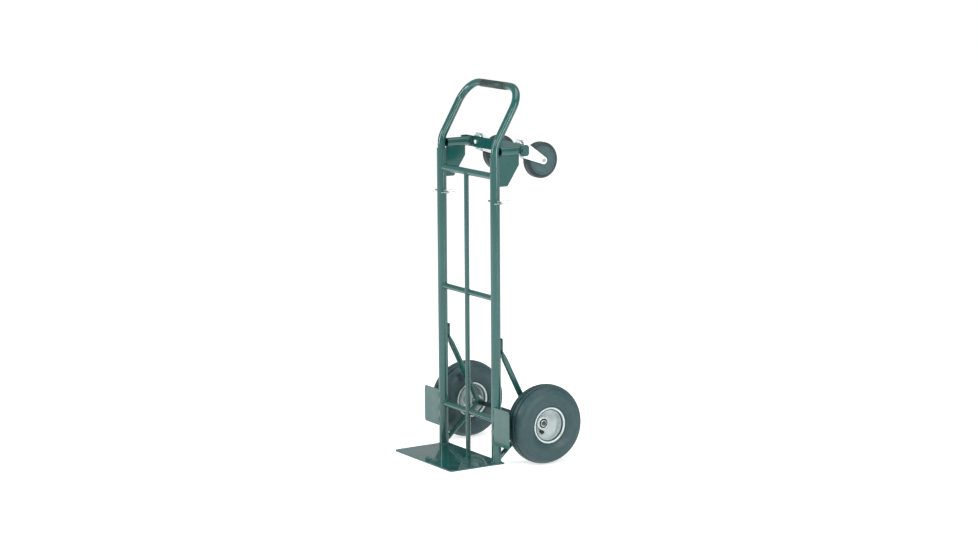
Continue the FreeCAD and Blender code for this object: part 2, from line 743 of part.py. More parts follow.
def make_hub(name, side):
    """The hub tube, bored at both ends for its bearings."""
    seat = "Place.bearing_radius"
    core = "Place.axle_radius + Size.bearing_ring"
    low, high = "Place.hub_in", "Place.hub_out"
    width = "Size.bearing_width"
    keep(turned(f"{name}_hub", [
        (seat, low), ("Place.hub_radius", low), ("Place.hub_radius", high), (seat, high),
        (seat, f"{high} - {width}"), (core, f"{high} - {width}"), (core, f"{low} + {width}"),
        (seat, f"{low} + {width}"),
    ], **wheel_place(side)))


def make_bearings(name, side):
    """Two ball bearings in the hub, each one ring with its shields set in a little."""
    bore = "Place.axle_radius + Size.axle_fit"
    outer = "Place.bearing_radius"
    race = "Size.bearing_ring"
    step = "Size.bearing_shield_inset"
    width = "Size.bearing_width"
    low_end, high_end = "Place.hub_in", "Place.hub_out"
    ends = (("inner", low_end, f"{low_end} + {width}"), ("outer", f"{high_end} - {width}", high_end))
    rings = []
    for where, low, high in ends:
        rings.append(turned(f"{name}_{where}_bearing", [
            (bore, low), (f"{bore} + {race}", low), (f"{bore} + {race}", f"{low} + {step}"),
            (f"{outer} - {race}", f"{low} + {step}"), (f"{outer} - {race}", low), (outer, low), (outer, high),
            (f"{outer} - {race}", high), (f"{outer} - {race}", f"{high} - {step}"),
            (f"{bore} + {race}", f"{high} - {step}"), (f"{bore} + {race}", high), (bore, high),
        ], **wheel_place(side)))
    keep(group(f"{name}_wheel_bearings", rings))


def make_valve(name, side):
    """The rubber valve stem with its cap, pointing outwards through the rim's disc."""
    stem, cap = "Size.valve_diameter / 2", "Size.valve_cap_diameter / 2"
    chamfer = "Size.valve_cap_chamfer"
    back = "Place.dish - 3 * Size.rim_sheet"
    end = f"{back} + Size.valve_length"
    tip = f"{end} + Size.valve_cap_length"
    place = wheel_place(side)
    place["y"] = "Place.axle_y - Place.valve_across"
    place["z"] = "Place.tyre_radius - Place.valve_down"
    keep(turned(f"{name}_valve_stem", [
        ("0", back), (stem, back), (stem, end), (cap, end), (cap, f"{tip} - {chamfer}"),
        (f"{cap} - {chamfer}", tip), ("0", tip),
    ], **place))


# ---- sockets, gussets and the caster bar ----


def make_socket(name, side):
    """A short tube level with the floor, open to the front, that takes a handle leg in platform use."""
    length = "Size.socket_rear - Place.socket_front"
    body = ring_bar(f"{name}_socket_tube", "Place.socket_radius", "Place.socket_bore", length,
                    x=f"{side} * Place.rail_x", y=f"Place.socket_y + ({length}) / 2", z="Place.socket_z",
                    turn=ALONG_Y)
    sketch = new_sketch(body, "YZ_Plane", f"{name}_socket_bolt_hole")
    circle(sketch, "Size.ear_bolt_diameter / 2", "0", f"({length}) / 2 - Size.ear_bolt_back")
    feature = body.newObject("PartDesign::Pocket", f"{name}_socket_bolt_pocket")
    feature.Profile = sketch
    feature.setExpression("Length", "2 * Place.socket_radius")
    feature.Reversed = side > 0
    keep(body)


def make_gusset(name, side):
    """A plate behind a rail that holds up its socket tube, slotted between its welds and dimpled outside."""
    body = new_body(f"{name}_gusset_blank")
    sketch = new_sketch(body, "YZ_Plane", f"{name}_gusset_outline")
    front, slot = "Place.rail_radius", "Place.rail_radius + Size.gusset_slot_depth"
    height = "Size.gusset_drop"
    top = f"({height} + Size.socket_lift + Place.socket_radius / 2)"
    corners = [
        (front, "0"), (f"{front} + Size.gusset_foot_width", "0"),
        ("Size.gusset_rear", f"{height} - Size.gusset_knee_drop"), ("Size.gusset_rear", top),
        ("Place.socket_front", top), ("Place.socket_front", height), (front, height),
    ]
    for which in ("upper", "lower"):
        high, low = f"Size.{which}_slot_top", f"Size.{which}_slot_bottom"
        corners += [(front, high), (slot, high), (slot, low), (front, low)]
    outline(sketch, corners)
    pad(body, sketch, "Size.gusset_thickness")
    put(body, f"{side} * Place.rail_x", "Place.rail_y", "Size.rail_top - Size.gusset_drop")
    cope = rod(f"{name}_gusset_cope", "Place.socket_radius", "2 * Size.socket_rear",
               f"{side} * Place.rail_x", "Place.rail_y", "Place.socket_z", ALONG_Y)
    dimple = rod(f"{name}_gusset_dimple", "Size.gusset_dimple / 2", "Size.gusset_thickness",
                 f"{side} * (Place.rail_x + Size.gusset_thickness / 2 - Size.gusset_dimple_depth)",
                 "Place.rail_back + Size.gusset_dimple_back",
                 "Size.rail_top - Size.gusset_drop + Size.gusset_dimple_height", OUTWARD[side])
    keep(cut(f"{name}_gusset", body, [cope, dimple]))


def make_caster_bar():
    """A flat bar across the backs of the socket tubes, with an ear at each end along the tube."""
    body = new_body("caster_bar")
    side_view = new_sketch(body, "YZ_Plane", "caster_bar_side")
    ear, back = "-Size.ear_length", "Size.bar_thickness"
    rear = f"({back} + Size.ear_rear)"
    high = "Size.bar_height / 2"
    outline(side_view, [(ear, f"-{high}"), (rear, f"-{high}"), (rear, high), (ear, high)])
    blank = pad(body, side_view, "2 * Place.bar_half")
    body.Tip = round_upright_edges(body, blank, "Size.ear_corner", lambda point: point.y > 0, Vector(1, 0, 0))
    inside = "(Place.bar_half - Size.bar_thickness)"
    for name, near, far in (("front", f"2 * {ear}", "0"), ("rear", back, f"2 * {rear}")):
        gap = new_sketch(body, "XY_Plane", f"caster_bar_{name}_gap")
        outline(gap, [(f"-{inside}", near), (inside, near), (inside, far), (f"-{inside}", far)])
        pocket(body, gap, "2 * Size.bar_height")
    for name, side in SIDES:
        x = f"{side} * Place.caster_x"
        hole(body, "XZ_Plane", f"{name}_kingpin_hole", "Place.kingpin_radius", x, "0",
             "4 * Size.bar_thickness")
    hole(body, "YZ_Plane", "ear_bolt_holes", "Size.ear_bolt_diameter / 2", "-Size.ear_bolt_back", "0",
         "4 * Place.bar_half")
    keep(put(body, "0", "Place.bar_y", "Place.socket_z"))


def make_ear_bolt(name, side):
    """The bolt that holds an ear of the caster bar to its socket tube."""
    shank = "Size.ear_bolt_diameter / 2"
    deep = "-(Size.bar_thickness + Size.socket_wall)"
    head, top, chamfer = "Size.ear_bolt_head / 2", "Size.ear_bolt_head_height", "Size.ear_bolt_head_chamfer"
    return turned(f"{name}_ear_bolt", [
        ("0", deep), (shank, deep), (shank, "0"), (head, "0"), (head, f"{top} - {chamfer}"),
        (f"{head} - {chamfer}", top), ("0", top),
    ], x=f"{side} * Place.bar_half", y="Place.ear_bolt_y", z="Place.socket_z", turn=OUTWARD[side])


# ---- casters ----


def caster_place(side, y):
    return {"x": f"{side} * Place.caster_x", "y": y, "z": "Place.socket_z", "turn": ALONG_Y}


def make_kingpin(name, side):
    """The caster's fixed pin: head on the front of the bar, nut behind the fork's crown."""
    shank = "Place.kingpin_radius"
    head = "Size.kingpin_head / 2"
    nut = "Size.kingpin_nut / 2"
    nut_start = "Size.swivel_gap + Place.fork_back - Place.bar_y"
    nut_end = f"{nut_start} + Size.kingpin_nut_height"
    chamfer = "Size.bolt_chamfer"
    return turned(f"{name}_kingpin", [
        ("0", "-Size.kingpin_head_height"), ("Size.kingpin_crown_diameter / 2", "-Size.kingpin_head_height"),
        (head, "-Size.kingpin_brim_height"), (head, "0"), (shank, "0"), (shank, nut_start), (nut, nut_start),
        (nut, f"{nut_end} - {chamfer}"), (f"{nut} - {chamfer}", nut_end), ("0", nut_end),
    ], **caster_place(side, "Place.bar_y"))


def make_race(name, side):
    """The raceway plate that is clamped to the back of the bar."""
    rim = "Size.race_diameter / 2"
    keep(turned(f"{name}_caster_race",
                plain_ring("Place.kingpin_radius", rim, "0", "Size.race_thickness"),
                **caster_place(side, "Place.bar_back")))


def make_balls(name, side):
    """The ring of bearing balls between raceway and fork."""
    ball = number("Size.ball_diameter") / 2
    ring = number("Size.ball_ring") / 2
    turns = [2 * math.pi * index / BALLS_PER_CASTER for index in range(BALLS_PER_CASTER)]
    balls = [Part.makeSphere(ball, Vector(ring * math.cos(turn), ring * math.sin(turn), 0)) for turn in turns]
    ring_of_balls = doc.addObject("Part::Feature", f"{name}_caster_balls")
    ring_of_balls.Shape = Part.makeCompound(balls)
    keep(put(ring_of_balls, **caster_place(side, "Place.ball_y")))


def make_fork(name, side):
    """The swivelling fork: a channel with tapered legs and a round crown that turns on the kingpin."""
    body = new_body(f"{name}_caster_fork")
    sketch = new_sketch(body, "YZ_Plane", f"{name}_fork_side")
    root = number("Size.fork_root / 2")
    reach = number("Place.caster_y - Place.fork_y")
    drop = -number("Size.caster_trail")
    end = number("Size.fork_end / 2")
    centre = Vector(reach, drop, 0)
    touches = []
    for corner, turn in ((Vector(0, root, 0), 1), (Vector(0, -root, 0), -1)):
        away = corner - centre
        angle = math.atan2(away.y, away.x) - turn * math.acos(end / away.Length)
        touches.append(centre + Vector(end * math.cos(angle), end * math.sin(angle), 0))
    upper, lower = touches
    back = sketch.addGeometry(Part.LineSegment(Vector(0, root, 0), Vector(0, -root, 0)))
    under = sketch.addGeometry(Part.LineSegment(Vector(0, -root, 0), lower))
    first = math.atan2(lower.y - drop, lower.x - reach)
    last = math.atan2(upper.y - drop, upper.x - reach)
    nose = sketch.addGeometry(Part.ArcOfCircle(Part.Circle(centre, Vector(0, 0, 1), end), first, last))
    over = sketch.addGeometry(Part.LineSegment(upper, Vector(0, root, 0)))
    for joined in ((back, 2, under, 1), (over, 2, back, 1)):
        sketch.addConstraint(Sketcher.Constraint("Coincident", *joined))
    for tangent in ((under, 2, nose, 1), (nose, 2, over, 1)):
        sketch.addConstraint(Sketcher.Constraint("Tangent", *tangent))
    bind(sketch, "Radius", nose, expression="Size.fork_end / 2")
    bind(sketch, "DistanceX", -1, 1, nose, 3, expression="Place.caster_y - Place.fork_y")
    bind(sketch, "DistanceY", -1, 1, nose, 3, expression="-Size.caster_trail")
    for point, height in ((1, "Size.fork_root / 2"), (2, "-Size.fork_root / 2")):
        bind(sketch, "DistanceX", -1, 1, back, point, expression="0")
        bind(sketch, "DistanceY", -1, 1, back, point, expression=height)
    pad(body, sketch, "2 * Place.fork_outer")
    channel = new_sketch(body, "XY_Plane", f"{name}_fork_channel")
    half = "Place.fork_inner"
    far = "Place.caster_y - Place.fork_y + Size.fork_root"
    web = "Size.fork_sheet"
    outline(channel, [(f"-{half}", web), (half, web), (half, far), (f"-{half}", far)])
    pocket(body, channel, "4 * Size.fork_root + 4 * Size.caster_trail")
    crown = new_sketch(body, "XZ_Plane", f"{name}_fork_crown")
    circle(crown, "Size.race_diameter / 2")
    disc = pad(body, crown, "Size.fork_sheet", symmetric=False)
    disc.Reversed = True
    hole(body, "XZ_Plane", f"{name}_fork_swivel_hole", "Place.kingpin_radius + Size.swivel_fit", "0", "0",
         "4 * Size.fork_sheet")
    hole(body, "YZ_Plane", f"{name}_fork_bolt_hole", "Place.caster_bolt_radius",
         "Place.caster_y - Place.fork_y", "-Size.caster_trail", "4 * Place.fork_outer")
    keep(put(body, f"{side} * Place.caster_x", "Place.fork_y", "Place.socket_z"))


def caster_wheel_place(side):
    return {"x": f"{side} * Place.caster_x", "y": "Place.caster_y", "z": "Place.caster_z", "turn": ALONG_X}


def make_caster_bolt(name, side):
    """The bolt and nut that carry the caster's wheel between the fork's legs."""
    shank = "Place.caster_bolt_radius"
    head = "Size.caster_bolt_head / 2"
    crown = f"{head} - Size.bolt_chamfer"
    near, far = "Place.fork_outer", "(Place.fork_outer + Size.caster_bolt_head_height)"
    brim = f"({far} - Size.bolt_chamfer)"
    keep(turned(f"{name}_caster_bolt", [
        ("0", f"-{far}"), (crown, f"-{far}"), (head, f"-{brim}"), (head, f"-{near}"), (shank, f"-{near}"),
        (shank, near), (head, near), (head, brim), (crown, far), ("0", far),
    ], **caster_wheel_place(side)))


def make_caster_wheel(name, side):
    """The caster's wheel: a bush, a moulded core with a thin web, and a rubber tread."""
    bore = "Place.caster_bolt_radius + Size.axle_fit"
    bush = f"{bore} + Size.caster_bush_wall"
    hub = "Size.caster_hub_diameter / 2"
    inner = "Place.caster_radius - Size.caster_tread"
    hub_half = "(Place.fork_inner - Size.caster_hub_gap)"
    half = "Place.caster_half"
    web = "Size.caster_web / 2"
    hub_foot = f"{hub} + Size.caster_draft"
    land = f"{inner} - Size.caster_rim_land"
    land_foot = f"{land} - Size.caster_draft"
    keep(turned(f"{name}_caster_bush", plain_ring(bore, bush, f"-{hub_half}", hub_half),
                **caster_wheel_place(side)))
    keep(turned(f"{name}_caster_core", [
        (bush, f"-{hub_half}"), (hub, f"-{hub_half}"), (hub_foot, f"-{web}"), (land_foot, f"-{web}"),
        (land, f"-{half}"), (inner, f"-{half}"), (inner, half), (land, half), (land_foot, web),
        (hub_foot, web), (hub, hub_half), (bush, hub_half),
    ], **caster_wheel_place(side)))
    edge, outer = "Size.caster_tread_round", "Place.caster_radius"
    keep(turned(f"{name}_caster_tread", [
        (inner, f"-{half}"), (f"{outer} - {edge}", f"-{half}", edge), (outer, f"-({half} - {edge})"),
        (outer, f"{half} - {edge}", edge), (f"{outer} - {edge}", half), (inner, half),
    ], **caster_wheel_place(side)))


# ---- handle, pins and clips ----


def handle_path():
    """The handle's centre line: leg, bend, slope, corner and grip, and the same on the other side."""
    x = number("Place.rail_x")
    y = number("Place.rail_y")
    knee = Vector(x, y, number("Place.handle_bend_z"))
    tilt = math.radians(number("Size.handle_tilt"))
    slope = Vector(0, math.sin(tilt), math.cos(tilt))
    corner = knee + slope * number("Size.handle_reach")
    foot = Vector(x, y, number("Place.handle_foot_z"))
    middle = Vector(0, corner.y, corner.z)
    bend = rounded(foot, knee, corner, number("Size.handle_bend_radius"))
    turn = rounded(knee, corner, middle, number("Size.handle_corner_radius"))
    half = [Part.makeLine(foot, bend[0]), bend[1], Part.makeLine(bend[2], turn[0]), turn[1]]
    mirrored = [edge.mirror(Vector(), Vector(1, 0, 0)) for edge in half]
    across = Vector(-turn[2].x, turn[2].y, turn[2].z)
    return Part.Wire(Part.sortEdges(half + [Part.makeLine(turn[2], across)] + mirrored)[0])


def rounded(before, corner, after, radius):
    """The start, arc and end of a tangent arc that rounds a corner."""
    entering = (corner - before).normalize()
    leaving = (after - corner).normalize()
    turn = entering.getAngle(leaving)
    back = radius * math.tan(turn / 2)
    start = corner - entering * back
    end = corner + leaving * back
    inward = (leaving - entering).normalize()
    middle = corner + inward * (radius / math.cos(turn / 2) - radius)
    return start, Part.Arc(start, middle, end).toShape(), end


def swept(path, radius):
    """A round bar along a path."""
    start = path.OrderedEdges[0]
    point = start.valueAt(start.FirstParameter)
    direction = start.tangentAt(start.FirstParameter)
    if path.OrderedVertexes[0].Point.distanceToPoint(point) > 0.01:
        point = start.valueAt(start.LastParameter)
        direction = start.tangentAt(start.LastParameter)
    section = Part.Wire([Part.makeCircle(radius, point, direction)])
    return path.makePipeShell([section], True, False)


def make_handle():
    """The handle: one tube bent into a loop, its legs slotted at the foot to sit astride the pins."""
    path = handle_path()
    tube = swept(path, number("Place.handle_radius")).cut(swept(path, number("Place.handle_bore")))
    blank = doc.addObject("Part::Feature", "handle_blank")
    blank.Shape = tube
    slots = []
    for name, side in SIDES:
        half = "(Place.pin_radius + Size.pin_slot_gap)"
        across = "2 * Size.rail_diameter"
        x = f"{side} * Place.rail_x - Size.rail_diameter"
        start = f"Place.handle_foot_z - {OVERRUN}"
        slots.append(rod(f"{name}_slot_end", half, across, x, "Place.rail_y", "Place.pin_z", ALONG_X))
        slots.append(block(f"{name}_slot", across, f"2 * {half}", f"Place.pin_z - ({start})", x,
                           f"Place.rail_y - {half}", start))
    keep(cut("handle_loop", blank, slots))


def make_pin(name, side):
    """A pull pin through a rail and the handle's leg, with a cross hole for its clip near its outer end."""
    radius, reach = "Place.pin_radius", "Size.pin_reach"
    chamfer = "Size.pin_chamfer"
    body = turned(f"{name}_lock_pin", [
        ("0", f"-{reach}"), ("Size.pin_tip_radius", f"-{reach}"), (radius, f"-{reach} + Size.pin_tip"),
        (radius, f"{reach} - {chamfer}"), (f"{radius} - {chamfer}", reach), ("0", reach),
    ], x=f"{side} * Place.rail_x", y="Place.rail_y", z="Place.pin_z", turn=ALONG_X)
    hole(body, "XZ_Plane", f"{name}_pin_cross_hole", "Size.clip_wire / 2 + Size.clip_fit", "0",
         f"{reach} - Size.clip_from_end", "4 * Size.pin_diameter")
    keep(body)


def clip_path():
    """A hairpin clip in the plane X = 0: a straight leg through the pin, an eye and a bowed leg over it."""
    over = number("Place.pin_radius + Size.clip_gap + Size.clip_wire / 2")
    front = number("Size.clip_front")
    rear = number("Size.clip_rear")
    eye = number("Size.clip_eye")
    bend = number("Size.clip_bend")
    leg_start = Vector(0, -front, 0)
    leg_end = Vector(0, rear, 0)
    eye_rear = Vector(0, rear + eye / 2, eye / 2)
    eye_top = Vector(0, rear, eye)
    shoulder = Vector(0, rear / 2, eye)
    dip = Vector(0, 0, over)
    tip = Vector(0, -0.6 * front, over + number("Size.clip_rise"))
    down = rounded(eye_top, shoulder, dip, bend)
    up = rounded(shoulder, dip, tip, bend)
    eye_bend = Part.Arc(leg_end, eye_rear, eye_top).toShape()
    return Part.Wire([Part.makeLine(leg_start, leg_end), eye_bend, Part.makeLine(eye_top, down[0]), down[1],
                      Part.makeLine(down[2], up[0]), up[1], Part.makeLine(up[2], tip)])


def make_clip(name, side):
    """The clip that keeps a lock pin in place."""
    path = clip_path()
    clip = doc.addObject("Part::Feature", f"{name}_clip")
    clip.Shape = swept(path, number("Size.clip_wire") / 2)
    x = f"{side} * Place.rail_x + Size.pin_reach - Size.clip_from_end"
    keep(put(clip, x, "Place.rail_y", "Place.pin_z"))


# ---- the whole truck ----


def build():
    make_nose_plate()
    make_centre_tube()
    make_cross_tube("top_cross_tube", "Place.top_tube_radius", "Place.top_tube_z")
    for which in ("middle", "lower"):
        name = f"{which}_cross_tube"
        height = f"Size.{which}_tube_height"
        make_cross_tube(name, "Place.cross_tube_radius", height, [centre_tube_cutter(name)])
    make_caster_bar()
    make_axle()
    make_axle_rings("axle_washers", "Size.washer_diameter / 2", "Size.washer_thickness",
                    "Place.rail_x + (Size.bracket_width + Size.washer_thickness) / 2")
    make_axle_rings("axle_retainers", "Size.retainer_diameter / 2", "Size.retainer_thickness",
                    "Place.hub_outer_x + Size.end_play + Size.retainer_thickness / 2")
    make_handle()
    keep(group("ear_bolts", [make_ear_bolt(name, side) for name, side in SIDES]))
    keep(group("kingpins", [make_kingpin(name, side) for name, side in SIDES]))
    brace = brace_shape()
    for name, side in SIDES:
        make_rail(name, side)
        make_guard(name, side)
        make_brace(name, side, brace)
        make_strut(name, side)
        make_bracket(name, side)
        make_tyre(name, side)
        make_inner_tube(name, side)
        make_outer_rim(name, side)
        make_inner_rim(name, side)
        make_hub(name, side)
        make_bearings(name, side)
        make_valve(name, side)
        make_socket(name, side)
        make_gusset(name, side)
        make_race(name, side)
        make_balls(name, side)
        make_fork(name, side)
        make_caster_bolt(name, side)
        make_caster_wheel(name, side)
        make_pin(name, side)
        make_clip(name, side)
    doc.recompute()


def check():
    """Stops if any object failed or any sub-part's shape is empty or invalid."""
    failed = [item.Name for item in doc.Objects if {"Invalid", "Error"} & set(item.State)]
    if failed:
        raise RuntimeError(f"these objects failed: {failed}")
    for item in sub_parts:
        if item.Shape.isNull() or not item.Shape.isValid() or not item.Shape.Solids:
            raise RuntimeError(f"{item.Label} has no valid solid")


def export():
    os.makedirs("parts", exist_ok=True)
    for item in sub_parts:
        item.Shape.exportStep(f"parts/{item.Label}.step")
        print(item.Label, len(item.Shape.Solids), round(item.Shape.Volume))


build()
check()
export()
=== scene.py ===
import json
import math
import random

import bmesh
import bpy
from mathutils import Matrix, Vector


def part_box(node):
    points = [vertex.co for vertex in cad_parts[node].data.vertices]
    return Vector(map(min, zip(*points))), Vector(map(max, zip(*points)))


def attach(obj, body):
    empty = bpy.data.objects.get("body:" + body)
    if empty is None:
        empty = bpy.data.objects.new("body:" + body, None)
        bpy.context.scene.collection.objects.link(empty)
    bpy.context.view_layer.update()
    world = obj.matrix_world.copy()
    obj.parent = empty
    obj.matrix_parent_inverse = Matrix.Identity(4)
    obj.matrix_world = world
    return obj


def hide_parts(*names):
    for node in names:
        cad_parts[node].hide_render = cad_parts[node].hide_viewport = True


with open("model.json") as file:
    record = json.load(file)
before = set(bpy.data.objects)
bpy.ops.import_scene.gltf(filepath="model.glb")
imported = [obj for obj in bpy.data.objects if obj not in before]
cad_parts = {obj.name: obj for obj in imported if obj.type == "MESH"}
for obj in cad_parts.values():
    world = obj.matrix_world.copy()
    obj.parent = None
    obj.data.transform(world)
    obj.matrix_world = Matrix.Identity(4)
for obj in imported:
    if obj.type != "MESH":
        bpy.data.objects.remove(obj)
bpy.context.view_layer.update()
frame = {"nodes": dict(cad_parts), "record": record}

MM = 0.001
SIDES = (("left", -1), ("right", 1))
random.seed(7)


# ---- measures read from the frame ----


def middle(node):
    """The middle of a CAD node's box."""
    low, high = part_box(node)
    return (low + high) / 2


def span(node, axis):
    """The length of a CAD node's box along an axis, 0 to 2."""
    low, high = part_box(node)
    return high[axis] - low[axis]


RAIL_RADIUS = span("left_rail", 0) / 2
RAIL_Y = middle("left_rail").y
RAIL_X = middle("right_rail").x
RAIL_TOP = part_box("left_rail")[1].z
PLATE_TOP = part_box("nose_plate")[1].z
CENTRE_TUBE_RADIUS = span("centre_tube", 0) / 2
AXLE = middle("axle")
AXLE_RADIUS = span("axle", 2) / 2
WHEEL_X = middle("right_tyre").x
TYRE_RADIUS = span("right_tyre", 2) / 2
TYRE_HALF = span("right_tyre", 0) / 2
RIM_RADIUS = span("right_outer_rim", 2) / 2
RIM_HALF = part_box("right_outer_rim")[1].x - WHEEL_X
HUB_RADIUS = span("right_hub", 2) / 2
HUB_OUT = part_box("right_hub")[1].x - WHEEL_X
HUB_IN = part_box("right_hub")[0].x - WHEEL_X
BEARING_RADIUS = span("right_wheel_bearings", 2) / 2
SOCKET_RADIUS = span("right_socket_tube", 0) / 2
BRACKET_RADIUS = span("right_axle_bracket", 2) / 2


# ---- mesh helpers ----


def add_object(name, vertices, faces, smooth=True):
    """A new mesh object, linked to the scene."""
    mesh = bpy.data.meshes.new(name)
    mesh.from_pydata([tuple(v) for v in vertices], [], faces)
    mesh.update()
    for polygon in mesh.polygons:
        polygon.use_smooth = smooth
    item = bpy.data.objects.new(name, mesh)
    bpy.context.scene.collection.objects.link(item)
    return item


def finish_piece(item, body, material, replaces=()):
    """Gives a new piece its material and its body, and hides the CAD nodes it replaces."""
    item.data.materials.clear()
    item.data.materials.append(material)
    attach(item, body)
    if replaces:
        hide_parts(*replaces)
    return item


def rounded(points, steps=5, closed=True):
    """A profile with its corners rounded. Points are (a, b, radius) in metres."""
    result = []
    count = len(points)
    for index, (a, b, radius) in enumerate(points):
        here = Vector((a, b))
        if radius <= 0 or (not closed and index in (0, count - 1)):
            result.append(here)
            continue
        before = Vector(points[index - 1][:2]) - here
        after = Vector(points[(index + 1) % count][:2]) - here
        turn = math.pi - before.angle(after)
        if turn < 0.02:
            result.append(here)
            continue
        reach = min(radius * math.tan(turn / 2), 0.49 * before.length, 0.49 * after.length)
        start, end = here + before.normalized() * reach, here + after.normalized() * reach
        for step in range(steps + 1):
            t = step / steps
            result.append(start * (1 - t) ** 2 + here * 2 * t * (1 - t) + end * t * t)
    return result


def lathe(name, profile, centre, axis, segments=128, closed=True):
    """Turns (radius, distance) pairs about a line through centre. axis is the outward unit vector."""
    out = Vector(axis)
    first = Vector((0, 0, 1))
    second = out.cross(first)
    count = len(profile)
    vertices = []
    for segment in range(segments):
        angle = 2 * math.pi * segment / segments
        around = first * math.cos(angle) + second * math.sin(angle)
        vertices += [Vector(centre) + around * p[0] + out * p[1] for p in profile]
    faces = []
    for segment in range(segments):
        a, b = segment * count, (segment + 1) % segments * count
        for index in range(count if closed else count - 1):
            after = (index + 1) % count
            faces.append((a + index, a + after, b + after, b + index))
    item = add_object(name, vertices, faces)
    tidy_mesh(item)
    return item


def tidy_mesh(item):
    """Merges doubled points and turns all faces outwards."""
    mesh = bmesh.new()
    mesh.from_mesh(item.data)
    bmesh.ops.remove_doubles(mesh, verts=mesh.verts, dist=1e-7)
    bmesh.ops.recalc_face_normals(mesh, faces=mesh.faces)
    mesh.to_mesh(item.data)
    mesh.free()


def shade_by_angle(item, degrees):
    """Smooth shading that keeps edges sharper than this."""
    limit = math.radians(degrees)
    mesh = bmesh.new()
    mesh.from_mesh(item.data)
    for edge in mesh.edges:
        edge.smooth = len(edge.link_faces) == 2 and edge.calc_face_angle(0) < limit
    for face in mesh.faces:
        face.smooth = True
    mesh.to_mesh(item.data)
    mesh.free()


def copy_softened(node, name, width):
    """A copy of a CAD node with its sharp edges rounded, as cut or pressed steel has them."""
    item = bpy.data.objects.new(name, frame["nodes"][node].data.copy())
    bpy.context.scene.collection.objects.link(item)
    mesh = bmesh.new()
    mesh.from_mesh(item.data)
    bmesh.ops.remove_doubles(mesh, verts=mesh.verts, dist=2e-6)
    bmesh.ops.dissolve_limit(mesh, angle_limit=math.radians(1.5), verts=mesh.verts, edges=mesh.edges)
    limit = math.radians(25)
    sharp = [e for e in mesh.edges if len(e.link_faces) == 2 and e.calc_face_angle(0) > limit]
    bmesh.ops.bevel(mesh, geom=sharp, offset=width, offset_type="OFFSET", segments=3, profile=0.5,
                    affect="EDGES", clamp_overlap=True)
    mesh.to_mesh(item.data)
    mesh.free()
    for polygon in item.data.polygons:
        polygon.use_smooth = True
    weighted = item.modifiers.new("weighted_normals", "WEIGHTED_NORMAL")
    weighted.keep_sharp = True
    return item


# ---- materials ----


class Recipe:
    """A material under construction: short calls that add and join nodes."""

    def __init__(self, name):
        self.material = bpy.data.materials.new(name)
        self.material.use_nodes = True
        self.tree = self.material.node_tree
        self.shader = self.tree.nodes["Principled BSDF"]
        self.place = self.add("ShaderNodeTexCoord").outputs["Object"]

    def add(self, kind, **settings):
        node = self.tree.nodes.new(kind)
        for key, value in settings.items():
            setattr(node, key, value)
        return node

    def join(self, source, target):
        self.tree.links.new(source, target)

    def noise(self, scale, detail=3.0, roughness=0.55, stretch=None):
        node = self.add("ShaderNodeTexNoise")
        node.inputs["Scale"].default_value = scale
        node.inputs["Detail"].default_value = detail
        node.inputs["Roughness"].default_value = roughness
        if stretch is None:
            self.join(self.place, node.inputs["Vector"])
        else:
            mapping = self.add("ShaderNodeMapping")
            mapping.inputs["Scale"].default_value = stretch
            self.join(self.place, mapping.inputs["Vector"])
            self.join(mapping.outputs["Vector"], node.inputs["Vector"])
        return node.outputs["Fac"]

    def ramp(self, source, low, high, start=0.0, end=1.0):
        """Maps source from low..high to start..end, held at both ends."""
        node = self.add("ShaderNodeMapRange")
        node.inputs["From Min"].default_value = low
        node.inputs["From Max"].default_value = high
        node.inputs["To Min"].default_value = start
        node.inputs["To Max"].default_value = end
        self.join(source, node.inputs["Value"])
        return node.outputs["Result"]

    def math(self, operation, first, second):
        node = self.add("ShaderNodeMath", operation=operation)
        for value, socket in ((first, node.inputs[0]), (second, node.inputs[1])):
            if isinstance(value, (int, float)):
                socket.default_value = value
            else:
                self.join(value, socket)
        return node.outputs["Value"]

    def mix(self, share, first, second):
        """Mixes two colours; each is a colour or a socket."""
        node = self.add("ShaderNodeMix", data_type="RGBA")
        self.join(share, node.inputs["Factor"])
        for value, socket in ((first, node.inputs[6]), (second, node.inputs[7])):
            if isinstance(value, tuple):
                socket.default_value = (*value, 1)
            else:
                self.join(value, socket)
        return node.outputs[2]

    def bump(self, source, strength, distance):
        node = self.add("ShaderNodeBump")
        node.inputs["Strength"].default_value = strength
        node.inputs["Distance"].default_value = distance
        self.join(source, node.inputs["Height"])
        self.join(node.outputs["Normal"], self.shader.inputs["Normal"])

    def height(self):
        """The height above the floor, in metres."""
        split = self.add("ShaderNodeSeparateXYZ")
        self.join(self.place, split.inputs["Vector"])
        return split.outputs["Z"]

    def set(self, **values):
        for key, value in values.items():
            socket = self.shader.inputs[key.replace("_", " ")]
            if isinstance(value, tuple):
                socket.default_value = (*value, 1)
            elif isinstance(value, (int, float)):
                socket.default_value = value
            else:
                self.join(value, socket)


